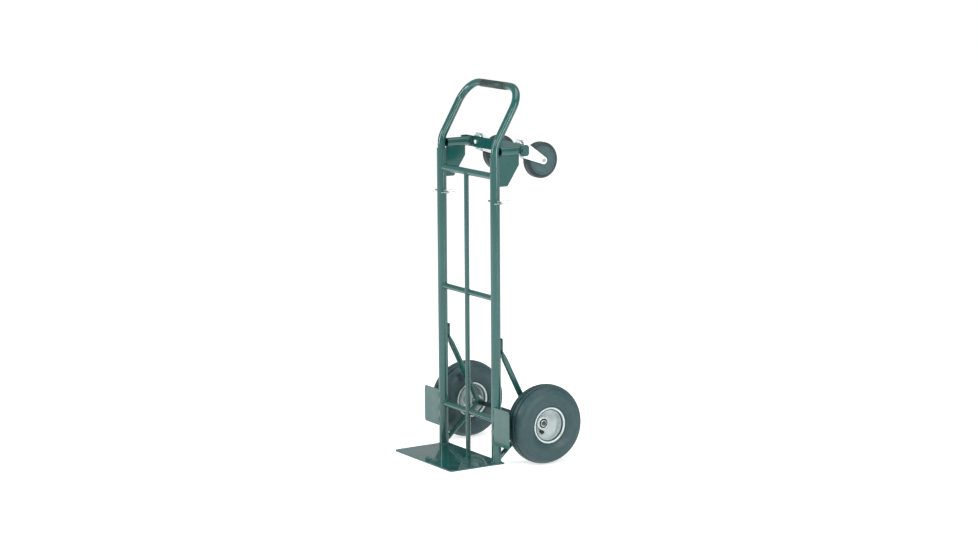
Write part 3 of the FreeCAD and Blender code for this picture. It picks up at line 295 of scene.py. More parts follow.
def enamel(name="enamel_green", roughness=0.16):
    """Glossy dark green enamel with slow colour drift, faint orange peel, fine scuffs and small chips."""
    r = Recipe(name)
    drift = r.ramp(r.noise(5.0, 3.0), 0.35, 0.65)
    colour = r.mix(drift, (0.006, 0.066, 0.058), (0.009, 0.080, 0.071))
    specks = r.ramp(r.noise(240.0, 2.0), 0.70, 0.74)
    chips = r.math("MULTIPLY", specks, r.ramp(r.noise(14.0, 2.0), 0.54, 0.66))
    colour = r.mix(r.math("MULTIPLY", chips, 0.6), colour, (0.10, 0.15, 0.14))
    low = r.ramp(r.height(), 0.0, 0.45, 1.0, 0.0)
    dust = r.math("MULTIPLY", low, r.ramp(r.noise(22.0, 5.0, 0.6), 0.45, 0.75))
    colour = r.mix(r.math("MULTIPLY", dust, 0.22), colour, (0.17, 0.20, 0.18))
    scuffs = r.ramp(r.noise(30.0, 4.0, 0.6, (1.0, 1.0, 0.12)), 0.50, 0.74)
    worn = r.ramp(scuffs, 0.0, 1.0, roughness - 0.04, roughness + 0.09)
    haze = r.math("ADD", worn, r.math("MULTIPLY", dust, 0.18))
    r.set(Base_Color=colour, Roughness=haze, Coat_Weight=0.25, Coat_Roughness=0.05, Specular_IOR_Level=0.5)
    r.bump(r.noise(330.0, 1.0), 0.05, 0.0003)
    return r.material


def wheel_enamel():
    """Light grey enamel on the pressed rims and hubs, dusty in places."""
    r = Recipe("enamel_grey")
    dust = r.ramp(r.noise(45.0, 5.0, 0.6), 0.42, 0.72)
    colour = r.mix(dust, (0.52, 0.58, 0.58), (0.40, 0.45, 0.44))
    chips = r.ramp(r.noise(330.0, 3.0), 0.72, 0.76)
    colour = r.mix(r.math("MULTIPLY", chips, 0.6), colour, (0.20, 0.22, 0.22))
    r.set(Base_Color=colour, Roughness=r.ramp(r.noise(60.0), 0.3, 0.7, 0.26, 0.42), Coat_Weight=0.15)
    r.bump(r.noise(600.0, 2.0), 0.12, 0.0004)
    return r.material


def metal(name, colour, dull, roughness):
    """Plated or bare steel with cloudy variation and fine grain."""
    r = Recipe(name)
    clouds = r.ramp(r.noise(70.0, 5.0, 0.6), 0.36, 0.68)
    tarnish = r.mix(clouds, colour, dull)
    spread = r.ramp(r.noise(420.0, 3.0), 0.3, 0.7, roughness - 0.07, roughness + 0.10)
    r.set(Base_Color=tarnish, Metallic=1.0, Roughness=spread)
    r.bump(r.noise(840.0, 2.0), 0.12, 0.0003)
    return r.material


def rubber(name, dark, dusty, roughness):
    """Moulded rubber: mottled with dust, a fine grain and a soft sheen."""
    r = Recipe(name)
    dust = r.ramp(r.noise(38.0, 6.0, 0.62), 0.36, 0.74)
    r.set(Base_Color=r.mix(dust, dark, dusty), Specular_IOR_Level=0.45,
          Roughness=r.ramp(dust, 0.0, 1.0, roughness - 0.06, roughness + 0.12))
    r.bump(r.noise(900.0, 4.0), 0.22, 0.0005)
    return r.material


def moulded(name, colour, second):
    """Hard moulded plastic with a faint mottle and texture."""
    r = Recipe(name)
    r.set(Base_Color=r.mix(r.ramp(r.noise(60.0, 5.0), 0.35, 0.7), colour, second),
          Roughness=r.ramp(r.noise(150.0), 0.3, 0.7, 0.38, 0.52))
    r.bump(r.noise(520.0, 3.0), 0.18, 0.0005)
    return r.material


def make_materials():
    """The materials by short name. Colours are linear."""
    return {
        "frame_paint": enamel(),
        "wheel_paint": wheel_enamel(),
        "plate_paint": enamel("enamel_green_flat", 0.09),
        "zinc": metal("zinc_plate", (0.88, 0.91, 0.92), (0.74, 0.77, 0.78), 0.34),
        "axle_steel": metal("axle_steel", (0.10, 0.13, 0.13), (0.05, 0.07, 0.07), 0.38),
        "bearing_steel": metal("bearing_steel", (0.60, 0.62, 0.63), (0.42, 0.44, 0.45), 0.24),
        "pin_steel": metal("pin_steel", (0.42, 0.45, 0.46), (0.26, 0.28, 0.29), 0.34),
        "clip_wire": metal("clip_wire", (0.66, 0.69, 0.70), (0.44, 0.46, 0.47), 0.28),
        "tyre_rubber": rubber("tyre_rubber", (0.012, 0.042, 0.046), (0.023, 0.060, 0.064), 0.46),
        "tube_rubber": rubber("tube_rubber", (0.012, 0.012, 0.012), (0.03, 0.03, 0.03), 0.5),
        "valve_rubber": rubber("valve_rubber", (0.008, 0.012, 0.013), (0.02, 0.026, 0.028), 0.42),
        "caster_rubber": rubber("caster_rubber", (0.005, 0.017, 0.020), (0.012, 0.029, 0.032), 0.46),
        "caster_core": moulded("caster_core", (0.023, 0.058, 0.063), (0.033, 0.077, 0.081)),
        "label": moulded("label_dark", (0.003, 0.020, 0.017), (0.007, 0.032, 0.027)),
        "amber": moulded("label_amber", (0.20, 0.13, 0.04), (0.14, 0.10, 0.035)),
        "seal": rubber("bearing_seal", (0.006, 0.009, 0.010), (0.016, 0.020, 0.021), 0.45),
    }


# ---- main wheels ----

TREAD_TEETH = 56
STEPS_PER_TOOTH = 5
GROOVE_PITCH = 17 * MM
GROOVE_HALF = 2.3 * MM
GROOVE_DEPTH = 4.6 * MM
TOOTH_SWAY = 1.8 * MM
SIDEWALL_RIDGES = ((0.10, 0.030, 0.9), (0.17, 0.012, 0.4), (0.74, 0.020, 0.5), (0.93, 0.045, 0.9))
SHOULDER_RADIUS = TYRE_RADIUS - 13 * MM
SHOULDER_HALF = TYRE_HALF - 6 * MM
CROWN_DROP = TYRE_RADIUS - SHOULDER_RADIUS
CROWN_RADIUS = (SHOULDER_HALF ** 2 + CROWN_DROP ** 2) / (2 * CROWN_DROP)


def crown(across):
    """The tread's radius at a distance across it from the wheel's middle."""
    return TYRE_RADIUS - CROWN_RADIUS + math.sqrt(max(CROWN_RADIUS ** 2 - across ** 2, 0))


def tread_row():
    """The tread from shoulder to shoulder as (across, depth, sway) points."""
    row = []
    edges = [-SHOULDER_HALF]
    for groove in (-GROOVE_PITCH, 0, GROOVE_PITCH):
        edges += [groove - GROOVE_HALF - 0.5 * MM, groove + GROOVE_HALF + 0.5 * MM]
        row += [
            (groove - GROOVE_HALF - 0.6 * MM, 0, 1), (groove - GROOVE_HALF - 0.2 * MM, 0.35 * MM, 1),
            (groove - GROOVE_HALF + 0.4 * MM, GROOVE_DEPTH, 1),
            (groove + GROOVE_HALF - 0.4 * MM, GROOVE_DEPTH, 1),
            (groove + GROOVE_HALF + 0.2 * MM, 0.35 * MM, 1), (groove + GROOVE_HALF + 0.6 * MM, 0, 1),
        ]
    edges.append(SHOULDER_HALF)
    for low, high in zip(edges[::2], edges[1::2]):
        for step in range(1, 5):
            row.append((low + (high - low) * step / 5, 0, 0))
    return sorted(row)


def flank(share, side):
    """A point of the sidewall: share runs from the rim (0) to the shoulder (1)."""
    start = Vector((RIM_RADIUS + 0.9 * MM, (RIM_HALF - 1.6 * MM)))
    end = Vector((SHOULDER_RADIUS, SHOULDER_HALF))
    middle_point = (start + end) / 2
    rise = TYRE_HALF - middle_point.y
    point = start.lerp(end, share)
    bulge = rise * (1 - (2 * share - 1) ** 2)
    away = Vector((-(end - start).y, (end - start).x)).normalized()
    ridge = 0.0
    for place, width, height in SIDEWALL_RIDGES:
        ridge += height * MM * math.exp(-(((share - place) / width) ** 4))
    point = point + away * (bulge + ridge)
    return point.x, point.y * side


def tyre(name, side):
    """The tyre: ridged sidewalls, a crowned tread with sawtooth grooves, and the hollow inside."""
    steps = [index / 34 for index in range(35)]
    near = [(*flank(share, -1), 0) for share in steps]
    far = [(*flank(share, 1), 0) for share in reversed(steps)]
    tread = [(crown(across) - depth, across, sway) for across, depth, sway in tread_row()]
    bead = RIM_HALF - 2.4 * MM
    inner = [
        (RIM_RADIUS - 1.5 * MM, bead - 0.6 * MM, 0), (RIM_RADIUS - 9 * MM, bead, 0),
        (RIM_RADIUS - 9 * MM, bead - 6 * MM, 0), (RIM_RADIUS + 6 * MM, bead - 5 * MM, 0),
        (SHOULDER_RADIUS - 20 * MM, TYRE_HALF - 7 * MM, 0),
        (SHOULDER_RADIUS - 5 * MM, SHOULDER_HALF - 6 * MM, 0), (TYRE_RADIUS - 8 * MM, 0, 0),
    ]
    back = [(radius, -across, 0) for radius, across, _ in reversed(inner[:-1])]
    section = near + tread + far + inner + back
    centre = Vector((side * WHEEL_X, AXLE.y, AXLE.z))
    out = Vector((side, 0, 0))
    segments = TREAD_TEETH * STEPS_PER_TOOTH
    vertices = []
    for segment in range(segments):
        angle = 2 * math.pi * segment / segments
        around = Vector((0, math.sin(angle), math.cos(angle)))
        sway = TOOTH_SWAY * (2 * (segment % STEPS_PER_TOOTH) / (STEPS_PER_TOOTH - 1) - 1)
        for radius, across, share in section:
            vertices.append(centre + around * radius + out * (across + sway * share))
    count = len(section)
    faces = []
    for segment in range(segments):
        a, b = segment * count, (segment + 1) % segments * count
        faces += [(a + i, a + (i + 1) % count, b + (i + 1) % count, b + i) for i in range(count)]
    item = add_object(name, vertices, faces)
    tidy_mesh(item)
    shade_by_angle(item, 40)
    return item


RIM_SHEET = 2.2 * MM
RIM_BARREL = RIM_RADIUS - 8 * MM - RIM_SHEET
RIM_SEAM = 2.5 * MM


def outer_rim_profile():
    """The visible half of the rim, from its rolled lip down the barrel and the dish to the hub."""
    sheet, lip, barrel, seam = RIM_SHEET, RIM_RADIUS, RIM_BARREL, RIM_SEAM
    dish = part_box("right_outer_rim")[0].x - WHEEL_X + sheet
    land = HUB_RADIUS + 6 * MM
    front = [
        (HUB_RADIUS + 0.1 * MM, dish, 0), (land, dish, 4 * MM), (barrel - 2.5 * MM, seam, 5 * MM),
        (barrel, seam + 4 * MM, 3 * MM), (barrel, RIM_HALF - 12 * MM, 3 * MM),
        (barrel + 3 * MM, RIM_HALF - 6 * MM, 3 * MM), (lip - 5.4 * MM, RIM_HALF - 1.2 * MM, 2 * MM),
        (lip - 3 * MM, RIM_HALF, 1.5 * MM), (lip, RIM_HALF - 0.2 * MM, 0.8 * MM),
    ]
    back = [
        (lip, RIM_HALF - sheet, 0.6 * MM), (lip - 4.2 * MM, RIM_HALF - sheet - 1.2 * MM, 1.6 * MM),
        (barrel + sheet + 1.0 * MM, RIM_HALF - 9 * MM, 2 * MM), (barrel + sheet, RIM_HALF - 14 * MM, 2 * MM),
        (barrel + sheet, seam, 0), (barrel, seam, 0), (land + 1 * MM, dish - sheet, 3 * MM),
        (HUB_RADIUS + 0.1 * MM, dish - sheet, 0),
    ]
    return rounded(front + back)


def inner_rim_profile():
    """The rim's back half: a barrel and a rolled lip."""
    sheet, lip, barrel, seam = RIM_SHEET, RIM_RADIUS, RIM_BARREL, RIM_SEAM
    return rounded([
        (barrel, seam, 0), (barrel + sheet, seam, 0), (barrel + sheet, -RIM_HALF + 14 * MM, 2 * MM),
        (barrel + sheet + 1 * MM, -RIM_HALF + 9 * MM, 2 * MM),
        (lip - 4.2 * MM, -RIM_HALF + sheet + 1.2 * MM, 1.6 * MM),
        (lip, -RIM_HALF + sheet, 0.6 * MM), (lip, -RIM_HALF + 0.2 * MM, 0.8 * MM),
        (lip - 3 * MM, -RIM_HALF, 1.5 * MM), (lip - 5.4 * MM, -RIM_HALF + 1.2 * MM, 2 * MM),
        (barrel + 3 * MM, -RIM_HALF + 6 * MM, 3 * MM), (barrel, -RIM_HALF + 12 * MM, 3 * MM),
    ])


BEARING_WIDTH = 11 * MM


def hub_profile():
    """The hub tube, bored wider at both ends for the bearings."""
    seat = BEARING_RADIUS + 0.05 * MM
    shelf_out, shelf_in = HUB_OUT - BEARING_WIDTH, HUB_IN + BEARING_WIDTH
    core = AXLE_RADIUS + 3.2 * MM
    edge = 1.2 * MM
    return rounded([
        (seat, HUB_IN, 0.5 * MM), (HUB_RADIUS, HUB_IN, edge), (HUB_RADIUS, HUB_OUT, edge),
        (seat, HUB_OUT, 0.5 * MM), (seat, shelf_out, 0), (core, shelf_out, 0), (core, shelf_in, 0),
        (seat, shelf_in, 0),
    ])


def make_wheel(name, side, paints):
    """One wheel: tyre, both rim halves, hub, bearings and valve stem."""
    body = f"{name}_wheel"
    out = (side, 0, 0)
    centre = (side * WHEEL_X, AXLE.y, AXLE.z)
    cover = tyre(f"{name}_tyre_moulded", side)
    finish_piece(cover, body, paints["tyre_rubber"], [f"{name}_tyre"])
    rim = lathe(f"{name}_rim_face", outer_rim_profile(), centre, out, 160)
    finish_piece(rim, body, paints["wheel_paint"], [f"{name}_outer_rim"])
    back = lathe(f"{name}_rim_back", inner_rim_profile(), centre, out, 160)
    finish_piece(back, body, paints["wheel_paint"], [f"{name}_inner_rim"])
    hub = lathe(f"{name}_hub_tube", hub_profile(), centre, out, 96)
    finish_piece(hub, body, paints["wheel_paint"], [f"{name}_hub"])
    make_bearing_rings(name, centre, out, body, paints)
    make_valve(name, side, body, paints)


def make_bearing_rings(name, centre, out, body, paints):
    """Each bearing shows a bright inner ring, a dark seal and a bright outer ring."""
    bore = AXLE_RADIUS + 0.06 * MM
    race = 2.6 * MM
    edge = 0.5 * MM
    replaced = [f"{name}_wheel_bearings"]
    for where, low in (("near", HUB_IN), ("far", HUB_OUT - BEARING_WIDTH)):
        high = low + BEARING_WIDTH
        rings = (
            ("race", "bearing_steel", [(bore, low, edge), (bore + race, low, edge), (bore + race, high, edge),
                                       (bore, high, edge)]),
            ("seal", "seal", [(bore + race, low + MM, 0), (BEARING_RADIUS - race, low + MM, 0),
                              (BEARING_RADIUS - race, high - MM, 0), (bore + race, high - MM, 0)]),
            ("cup", "bearing_steel", [(BEARING_RADIUS - race, low, edge), (BEARING_RADIUS, low, edge),
                                      (BEARING_RADIUS, high, edge), (BEARING_RADIUS - race, high, edge)]),
        )
        for part, finish, profile in rings:
            ring = lathe(f"{name}_{where}_bearing_{part}", rounded(profile, 3), centre, out, 72)
            finish_piece(ring, body, paints[finish], replaced)
            replaced = []


def make_valve(name, side, body, paints):
    """The valve stem's rubber base, neck and knurled cap."""
    low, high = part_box(f"{name}_valve_stem")
    centre = (low + high) / 2
    out = (side, 0, 0)
    length = high.x - low.x
    cap = (high.z - low.z) / 2
    start = -length / 2
    foot, neck = 4.4 * MM, 3.6 * MM
    profile = rounded([
        (0.0, start, 0), (foot, start, 0), (foot, start + 8 * MM, 0.6 * MM), (neck, start + 10 * MM, MM),
        (neck, start + 12.8 * MM, 0), (cap - 0.6 * MM, start + 13 * MM, 0.6 * MM),
        (cap - 0.6 * MM, length / 2 - 2.2 * MM, 0.8 * MM), (cap - 2.4 * MM, length / 2, 0.8 * MM),
        (0.0, length / 2, 0),
    ], 3, closed=False)
    stem = lathe(f"{name}_valve_rubber", profile, centre, out, 40, closed=False)
    knurl = 16
    for vertex in stem.data.vertices:
        along = (vertex.co - centre).dot(Vector(out)) - start
        if along < 14 * MM or along > length - 2.5 * MM:
            continue
        offset = vertex.co - centre
        radial = Vector((0, offset.y, offset.z))
        if radial.length < cap - MM:
            continue
        wave = math.cos(math.atan2(offset.z, offset.y) * knurl)
        vertex.co += radial.normalized() * 0.35 * MM * wave
    finish_piece(stem, body, paints["valve_rubber"], [f"{name}_valve_stem"])


# ---- welds ----

welds = {"vertices": [], "faces": []}
WELD_SIDES = 8
RIPPLE = 2.6 * MM


def weld(points, radius=2.0 * MM, closed=False):
    """Lays a rippled bead along points."""
    dense = []
    loop = points + [points[0]] if closed else points
    for start, end in zip(loop, loop[1:]):
        steps = max(1, round((end - start).length / (0.65 * MM)))
        dense += [start.lerp(end, step / steps) for step in range(steps)]
    if not closed:
        dense.append(loop[-1])
    base = len(welds["vertices"])
    count = len(dense)
    travelled = 0.0
    for index, point in enumerate(dense):
        before = dense[index - 1] if closed or index else dense[index]
        after = dense[(index + 1) % count] if closed or index < count - 1 else dense[index]
        forward = (after - before).normalized()
        travelled += (point - before).length if index else 0
        helper = Vector((0, 0, 1)) if abs(forward.z) < 0.9 else Vector((1, 0, 0))
        first = forward.cross(helper).normalized()
        second = forward.cross(first)
        ripple = 1 + 0.16 * math.cos(2 * math.pi * travelled / RIPPLE) + 0.06 * random.uniform(-1, 1)
        end_share = 1.0
        if not closed:
            end_share = min(1.0, 0.35 + min(index, count - 1 - index) / 4)
        for corner in range(WELD_SIDES):
            angle = 2 * math.pi * corner / WELD_SIDES
            offset = first * math.cos(angle) + second * math.sin(angle)
            welds["vertices"].append(point + offset * radius * ripple * end_share)
    rings = count if closed else count - 1
    for ring in range(rings):
        a, b = base + ring * WELD_SIDES, base + (ring + 1) % count * WELD_SIDES
        for corner in range(WELD_SIDES):
            after = (corner + 1) % WELD_SIDES
            welds["faces"].append((a + corner, a + after, b + after, b + corner))
    if not closed:
        welds["faces"].append(tuple(base + corner for corner in reversed(range(WELD_SIDES))))
        welds["faces"].append(tuple(base + (count - 1) * WELD_SIDES + corner for corner in range(WELD_SIDES)))


def angles(count, start=0.0, end=2 * math.pi):
    """Evenly spaced angles; a full circle leaves out its end."""
    full = abs(end - start - 2 * math.pi) < 1e-6
    return [start + (end - start) * index / (count if full else count - 1) for index in range(count)]


def foot_ring(x, y, radius, count):
    """A circle of points on the nose plate."""
    return [Vector((x + radius * math.cos(t), y + radius * math.sin(t), PLATE_TOP)) for t in angles(count)]


def weld_feet():
    """Rails and centre tube stand on the nose plate."""
    for _, side in SIDES:
        weld(foot_ring(side * RAIL_X, RAIL_Y, RAIL_RADIUS, 48), 2.6 * MM, closed=True)
    weld(foot_ring(0, middle("centre_tube").y, CENTRE_TUBE_RADIUS, 32), 2.0 * MM, closed=True)


def weld_cross_tubes():
    """Each cross tube is coped to the rails, and crossed by the centre tube."""
    centre_y = middle("centre_tube").y
    for node in ("top_cross_tube", "middle_cross_tube", "lower_cross_tube"):
        radius = span(node, 2) / 2
        height = middle(node).z
        for _, side in SIDES:
            ring = []
            for t in angles(40):
                y, z = radius * math.cos(t), height + radius * math.sin(t)
                ring.append(Vector((side * (RAIL_X - math.sqrt(RAIL_RADIUS ** 2 - y * y)), RAIL_Y + y, z)))
            weld(ring, 1.9 * MM, closed=True)
            if node == "top_cross_tube":
                continue
            arc = []
            for t in angles(24, math.pi * 0.42, math.pi * 1.58):
                y, z = RAIL_Y + radius * math.cos(t), height + radius * math.sin(t)
                reach = CENTRE_TUBE_RADIUS ** 2 - (y - centre_y) ** 2
                if reach > 0:
                    arc.append(Vector((side * math.sqrt(reach), y, z)))
            weld(arc, 1.5 * MM)
    top = middle("top_cross_tube").z
    radius = span("top_cross_tube", 2) / 2
    ring = []
    for t in angles(36):
        x, y = CENTRE_TUBE_RADIUS * math.cos(t), centre_y + CENTRE_TUBE_RADIUS * math.sin(t)
        drop = math.sqrt(max(radius ** 2 - (y - RAIL_Y) ** 2, (0.35 * radius) ** 2))
        ring.append(Vector((x, y, top - drop)))
    weld(ring, 1.6 * MM, closed=True)


def weld_plates():
    """Stitches along the tyre guards, the brace tabs, the gussets and the socket tubes."""
    for name, side in SIDES:
        low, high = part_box(f"{name}_wheel_guard")
        for start, end in ((0.06, 0.26), (0.42, 0.62), (0.76, 0.94)):
            for y in (low.y, high.y):
                reach = math.sqrt(RAIL_RADIUS ** 2 - (y - RAIL_Y) ** 2)
                weld([Vector((side * (RAIL_X + reach + 0.4 * MM), y, low.z + (high.z - low.z) * share))
                      for share in (start, end)], 1.6 * MM)
        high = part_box(f"{name}_upper_brace")[1]
        for edge in (-7.5 * MM, 7.5 * MM):
            y = RAIL_Y + math.sqrt(RAIL_RADIUS ** 2 - edge ** 2) + 0.6 * MM
            weld([Vector((side * RAIL_X + edge, y, high.z - 4 * MM)),
                  Vector((side * RAIL_X + edge, y, high.z - 38 * MM))], 2.2 * MM)
        low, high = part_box(f"{name}_gusset")
        half = (high.x - low.x) / 2
        drop = RAIL_TOP - low.z
        for start, end in ((0.01, 0.21), (0.63, 0.79), (0.945, 0.995)):
            for edge in (-half, half):
                weld([Vector((side * RAIL_X + edge, low.y + 0.4 * MM, low.z + drop * share))
                      for share in (start, end)], 1.7 * MM)
        socket_low, socket_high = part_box(f"{name}_socket_tube")
        for start, end in ((0.06, 0.34), (0.55, 0.78)):
            for edge in (-half, half):
                weld([Vector((side * RAIL_X + edge, socket_low.y + (socket_high.y - socket_low.y) * share,
                              socket_low.z + 0.1 * MM)) for share in (start, end)], 1.7 * MM)


def weld_socket_ends():
    """The caster bar is welded round the inner side of each socket tube's end."""
    bar_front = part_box("right_socket_tube")[1].y
    for name, side in SIDES:
        centre = middle(f"{name}_socket_tube")
        arc = []
        for t in angles(26, math.radians(62), math.radians(298)):
            x = centre.x + side * SOCKET_RADIUS * math.cos(t)
            arc.append(Vector((x, bar_front - 0.3 * MM, centre.z + SOCKET_RADIUS * math.sin(t))))
        weld(arc, 1.8 * MM)


def weld_brackets():
    """Both braces end on the axle bracket, and the lower one starts at the rail's foot."""
    tab_y = RAIL_Y + RAIL_RADIUS + 2.5 * MM
    for name, _ in SIDES:
        centre = middle(f"{name}_axle_bracket")
        strut_low, strut_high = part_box(f"{name}_lower_brace")
        brace_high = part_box(f"{name}_upper_brace")[1]
        strut_foot = Vector((centre.x, RAIL_Y + RAIL_RADIUS / 2, PLATE_TOP + 12 * MM))
        tab_foot = Vector((centre.x, tab_y, brace_high.z - 41 * MM))
        for foot, radius in ((strut_foot, (strut_high.x - strut_low.x) / 2), (tab_foot, 9.5 * MM)):
            direction = (centre - foot).normalized()
            across = Vector((1, 0, 0))
            up = direction.cross(across)
            ring = []
            for t in angles(32):
                offset = up * (radius * math.sin(t))
                back = math.sqrt(BRACKET_RADIUS ** 2 - (radius * math.sin(t)) ** 2)
                ring.append(centre - direction * back + offset + across * radius * math.cos(t))
            weld(ring, 1.8 * MM, closed=True)


def make_welds(paint):
    """All the beads in one mesh."""
    weld_feet()
    weld_cross_tubes()
    weld_plates()
    weld_socket_ends()
    weld_brackets()
    bead = add_object("weld_beads", welds["vertices"], welds["faces"])
    finish_piece(bead, "frame", paint)


# ---- plates, bolts and casters ----


def soften_plates(paints):
    """Cut and pressed pieces get rounded edges."""
    jobs = [("nose_plate", 1.1, "frame", "plate_paint"), ("caster_bar", 0.9, "frame", "frame_paint")]
    for name, _ in SIDES:
        jobs += [
            (f"{name}_wheel_guard", 0.6, "frame", "frame_paint"),
            (f"{name}_gusset", 0.6, "frame", "frame_paint"),
            (f"{name}_caster_race", 0.7, "frame", "zinc"),
            (f"{name}_caster_fork", 0.9, f"{name}_caster", "zinc"),
            (f"{name}_socket_tube", 0.35, "frame", "frame_paint"),
            (f"{name}_axle_bracket", 0.6, "frame", "frame_paint"),
            (f"{name}_lock_pin", 0.3, f"{name}_pin", "pin_steel"),
        ]
    for node, width, body, slot in jobs:
        piece = copy_softened(node, node + "_soft", width * MM)
        finish_piece(piece, body, paints[slot], [node])


def hex_head(name, centre, out, across_flats, height):
    """A bolt head with a chamfered top and a washer face."""
    out = Vector(out)
    first = Vector((0, 0, 1))
    second = out.cross(first)
    corner = across_flats / 2 / math.cos(math.pi / 6)
    rings = [(corner, 0.0), (corner, height * 0.72), (across_flats * 0.47, height),
             (across_flats * 0.3, height)]
    sides = 48
    vertices = []
    for limit, along in rings:
        for index in range(sides):
            angle = 2 * math.pi * index / sides
            flat = across_flats / 2 / math.cos((angle + math.pi / 6) % (math.pi / 3) - math.pi / 6)
            around = first * math.cos(angle) + second * math.sin(angle)
            vertices.append(Vector(centre) + around * min(limit, flat) + out * along)
    faces = []
    for ring in range(len(rings) - 1):
        for index in range(sides):
            after = (index + 1) % sides
            faces.append((ring * sides + index, ring * sides + after, (ring + 1) * sides + after,
                          (ring + 1) * sides + index))
    faces.append(tuple(reversed(range(sides))))
    faces.append(tuple((len(rings) - 1) * sides + index for index in range(sides)))
    item = add_object(name, vertices, faces)
    tidy_mesh(item)
    shade_by_angle(item, 24)
    return item


def make_bolts(paints):
    """Kingpins, ear bolts and the casters' axle bolts get rounded or six-sided heads."""
    bar_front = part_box("right_socket_tube")[1].y
    low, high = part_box("kingpins")
    pin_x = middle("right_caster_race").x
    height = (low.z + high.z) / 2
    nut = 6 * MM
    for name, side in SIDES:
        centre = Vector((side * pin_x, bar_front, height))
        dome = bar_front - low.y
        end = bar_front - high.y
        profile = rounded([(0, dome, 0), (4 * MM, dome, 3 * MM), (7 * MM, 2 * MM, 2 * MM),
                           (7 * MM, 0, 0.3 * MM), (4.7 * MM, 0, 0), (4.7 * MM, end, 0.6 * MM), (0, end, 0)],
                          5, closed=False)
        pin = lathe(f"{name}_kingpin_rivet", profile, centre, (0, -1, 0), 48, closed=False)
        finish_piece(pin, "frame", paints["zinc"], ["kingpins"] if side < 0 else [])
        base = (centre.x, high.y - nut, height)
        head = hex_head(f"{name}_kingpin_nut", base, (0, 1, 0), 14 * MM, nut * 0.97)
        finish_piece(head, "frame", paints["zinc"])
    low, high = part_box("ear_bolts")
    reach = 4 * MM
    for name, side in SIDES:
        base = Vector((side * (high.x - reach), (low.y + high.y) / 2, (low.z + high.z) / 2))
        head = hex_head(f"{name}_ear_bolt_head", base, (side, 0, 0), 10.2 * MM, reach * 0.97)
        finish_piece(head, "frame", paints["axle_steel"], ["ear_bolts"] if side < 0 else [])
        profile = [(0, 0), (3.1 * MM, 0), (3.1 * MM, -7 * MM), (0, -7 * MM)]
        shank = lathe(f"{name}_ear_bolt_shank", profile, base, (side, 0, 0), 32, closed=False)
        finish_piece(shank, "frame", paints["axle_steel"])
    for name, _ in SIDES:
        low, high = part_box(f"{name}_caster_bolt")
        centre = (low + high) / 2
        half = (high.x - low.x) / 2
        cap = 5 * MM
        end = half - cap
        profile = [(0, end), (3.9 * MM, end), (3.9 * MM, -end), (0, -end)]
        shank = lathe(f"{name}_caster_bolt_shank", profile, centre, (1, 0, 0), 32, closed=False)
        finish_piece(shank, f"{name}_caster", paints["pin_steel"], [f"{name}_caster_bolt"])
        for where, way in (("in", -1), ("out", 1)):
            base = centre + Vector((way * end, 0, 0))
            head = hex_head(f"{name}_caster_bolt_{where}", base, (way, 0, 0), 10.2 * MM, cap * 0.97)
            finish_piece(head, f"{name}_caster", paints["pin_steel"])


def make_caster_wheels(paints):
    """A moulded core with a hub boss and a shallow dished face, inside a rounded tread with a mould line."""
    for name, _ in SIDES:
        body = f"{name}_caster_wheel"
        low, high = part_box(f"{name}_caster_tread")
        centre = (low + high) / 2
        radius, half = (high.z - low.z) / 2, (high.x - low.x) / 2
        core_low, core_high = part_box(f"{name}_caster_core")
        inner, hub_half = (core_high.z - core_low.z) / 2, (core_high.x - core_low.x) / 2
        edge = 4.5 * MM
        bevel = 5 * MM
        line = 0.35 * MM
        tread = rounded([(inner, -half, 0), (radius - bevel, -half, 1.5 * MM), (radius, -half + bevel, edge),
                         (radius, -0.9 * MM, 0), (radius - line, -0.3 * MM, 0), (radius - line, 0.3 * MM, 0),
                         (radius, 0.9 * MM, 0), (radius, half - bevel, edge),
                         (radius - bevel, half, 1.5 * MM), (inner, half, 0)])
        ring = lathe(f"{name}_caster_tread_moulded", tread, centre, (1, 0, 0), 128)
        finish_piece(ring, body, paints["caster_rubber"], [f"{name}_caster_tread"])
        face = half - 2.6 * MM
        boss = 16 * MM
        bore = 7.1 * MM
        front = [(bore, hub_half, 0.5 * MM), (boss, hub_half, 1.5 * MM), (boss + 2.5 * MM, face, 2.5 * MM),
                 (inner * 0.6, face + 0.4 * MM, 4 * MM), (inner - 6.5 * MM, face, 2 * MM),
                 (inner - 4 * MM, half, 1.6 * MM), (inner, half, 0)]
        back = [(radial, -across, bend) for radial, across, bend in reversed(front)]
        core = lathe(f"{name}_caster_core_moulded", rounded(front + back, 4), centre, (1, 0, 0), 128)
        finish_piece(core, body, paints["caster_core"], [f"{name}_caster_core"])


def make_axle_pieces(paints):
    """The axle has chamfered, centre-drilled ends; its washers and retainers have rolled edges."""
    low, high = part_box("axle")
    centre = (low + high) / 2
    half = (high.x - low.x) / 2
    bevel = 1.2 * MM
    side_profile = [(0, half - 2.2 * MM), (1.4 * MM, half - 0.9 * MM), (1.9 * MM, half),
                    (AXLE_RADIUS - bevel, half), (AXLE_RADIUS, half - bevel)]
    profile = side_profile + [(radius, -across) for radius, across in reversed(side_profile)]
    rod = lathe("axle_bar", profile, centre, (1, 0, 0), 64, closed=False)
    shade_by_angle(rod, 30)
    finish_piece(rod, "frame", paints["axle_steel"], ["axle"])
    bore = AXLE_RADIUS
    rings = (("axle_washers", 2.5 * MM, "zinc"), ("axle_retainers", 2 * MM, "bearing_steel"))
    for node, thick, paint in rings:
        low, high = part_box(node)
        radius = (high.z - low.z) / 2
        far = high.x
        for name, side in SIDES:
            ring = rounded([(bore, far - thick, 0.2 * MM), (radius, far - thick, 0.6 * MM),
                            (radius, far, 0.9 * MM), (bore, far, 0.2 * MM)], 3)
            piece = lathe(f"{name}_{node}_turned", ring, (0, centre.y, centre.z), (side, 0, 0), 64)
            finish_piece(piece, "frame", paints[paint], [node] if side < 0 else [])


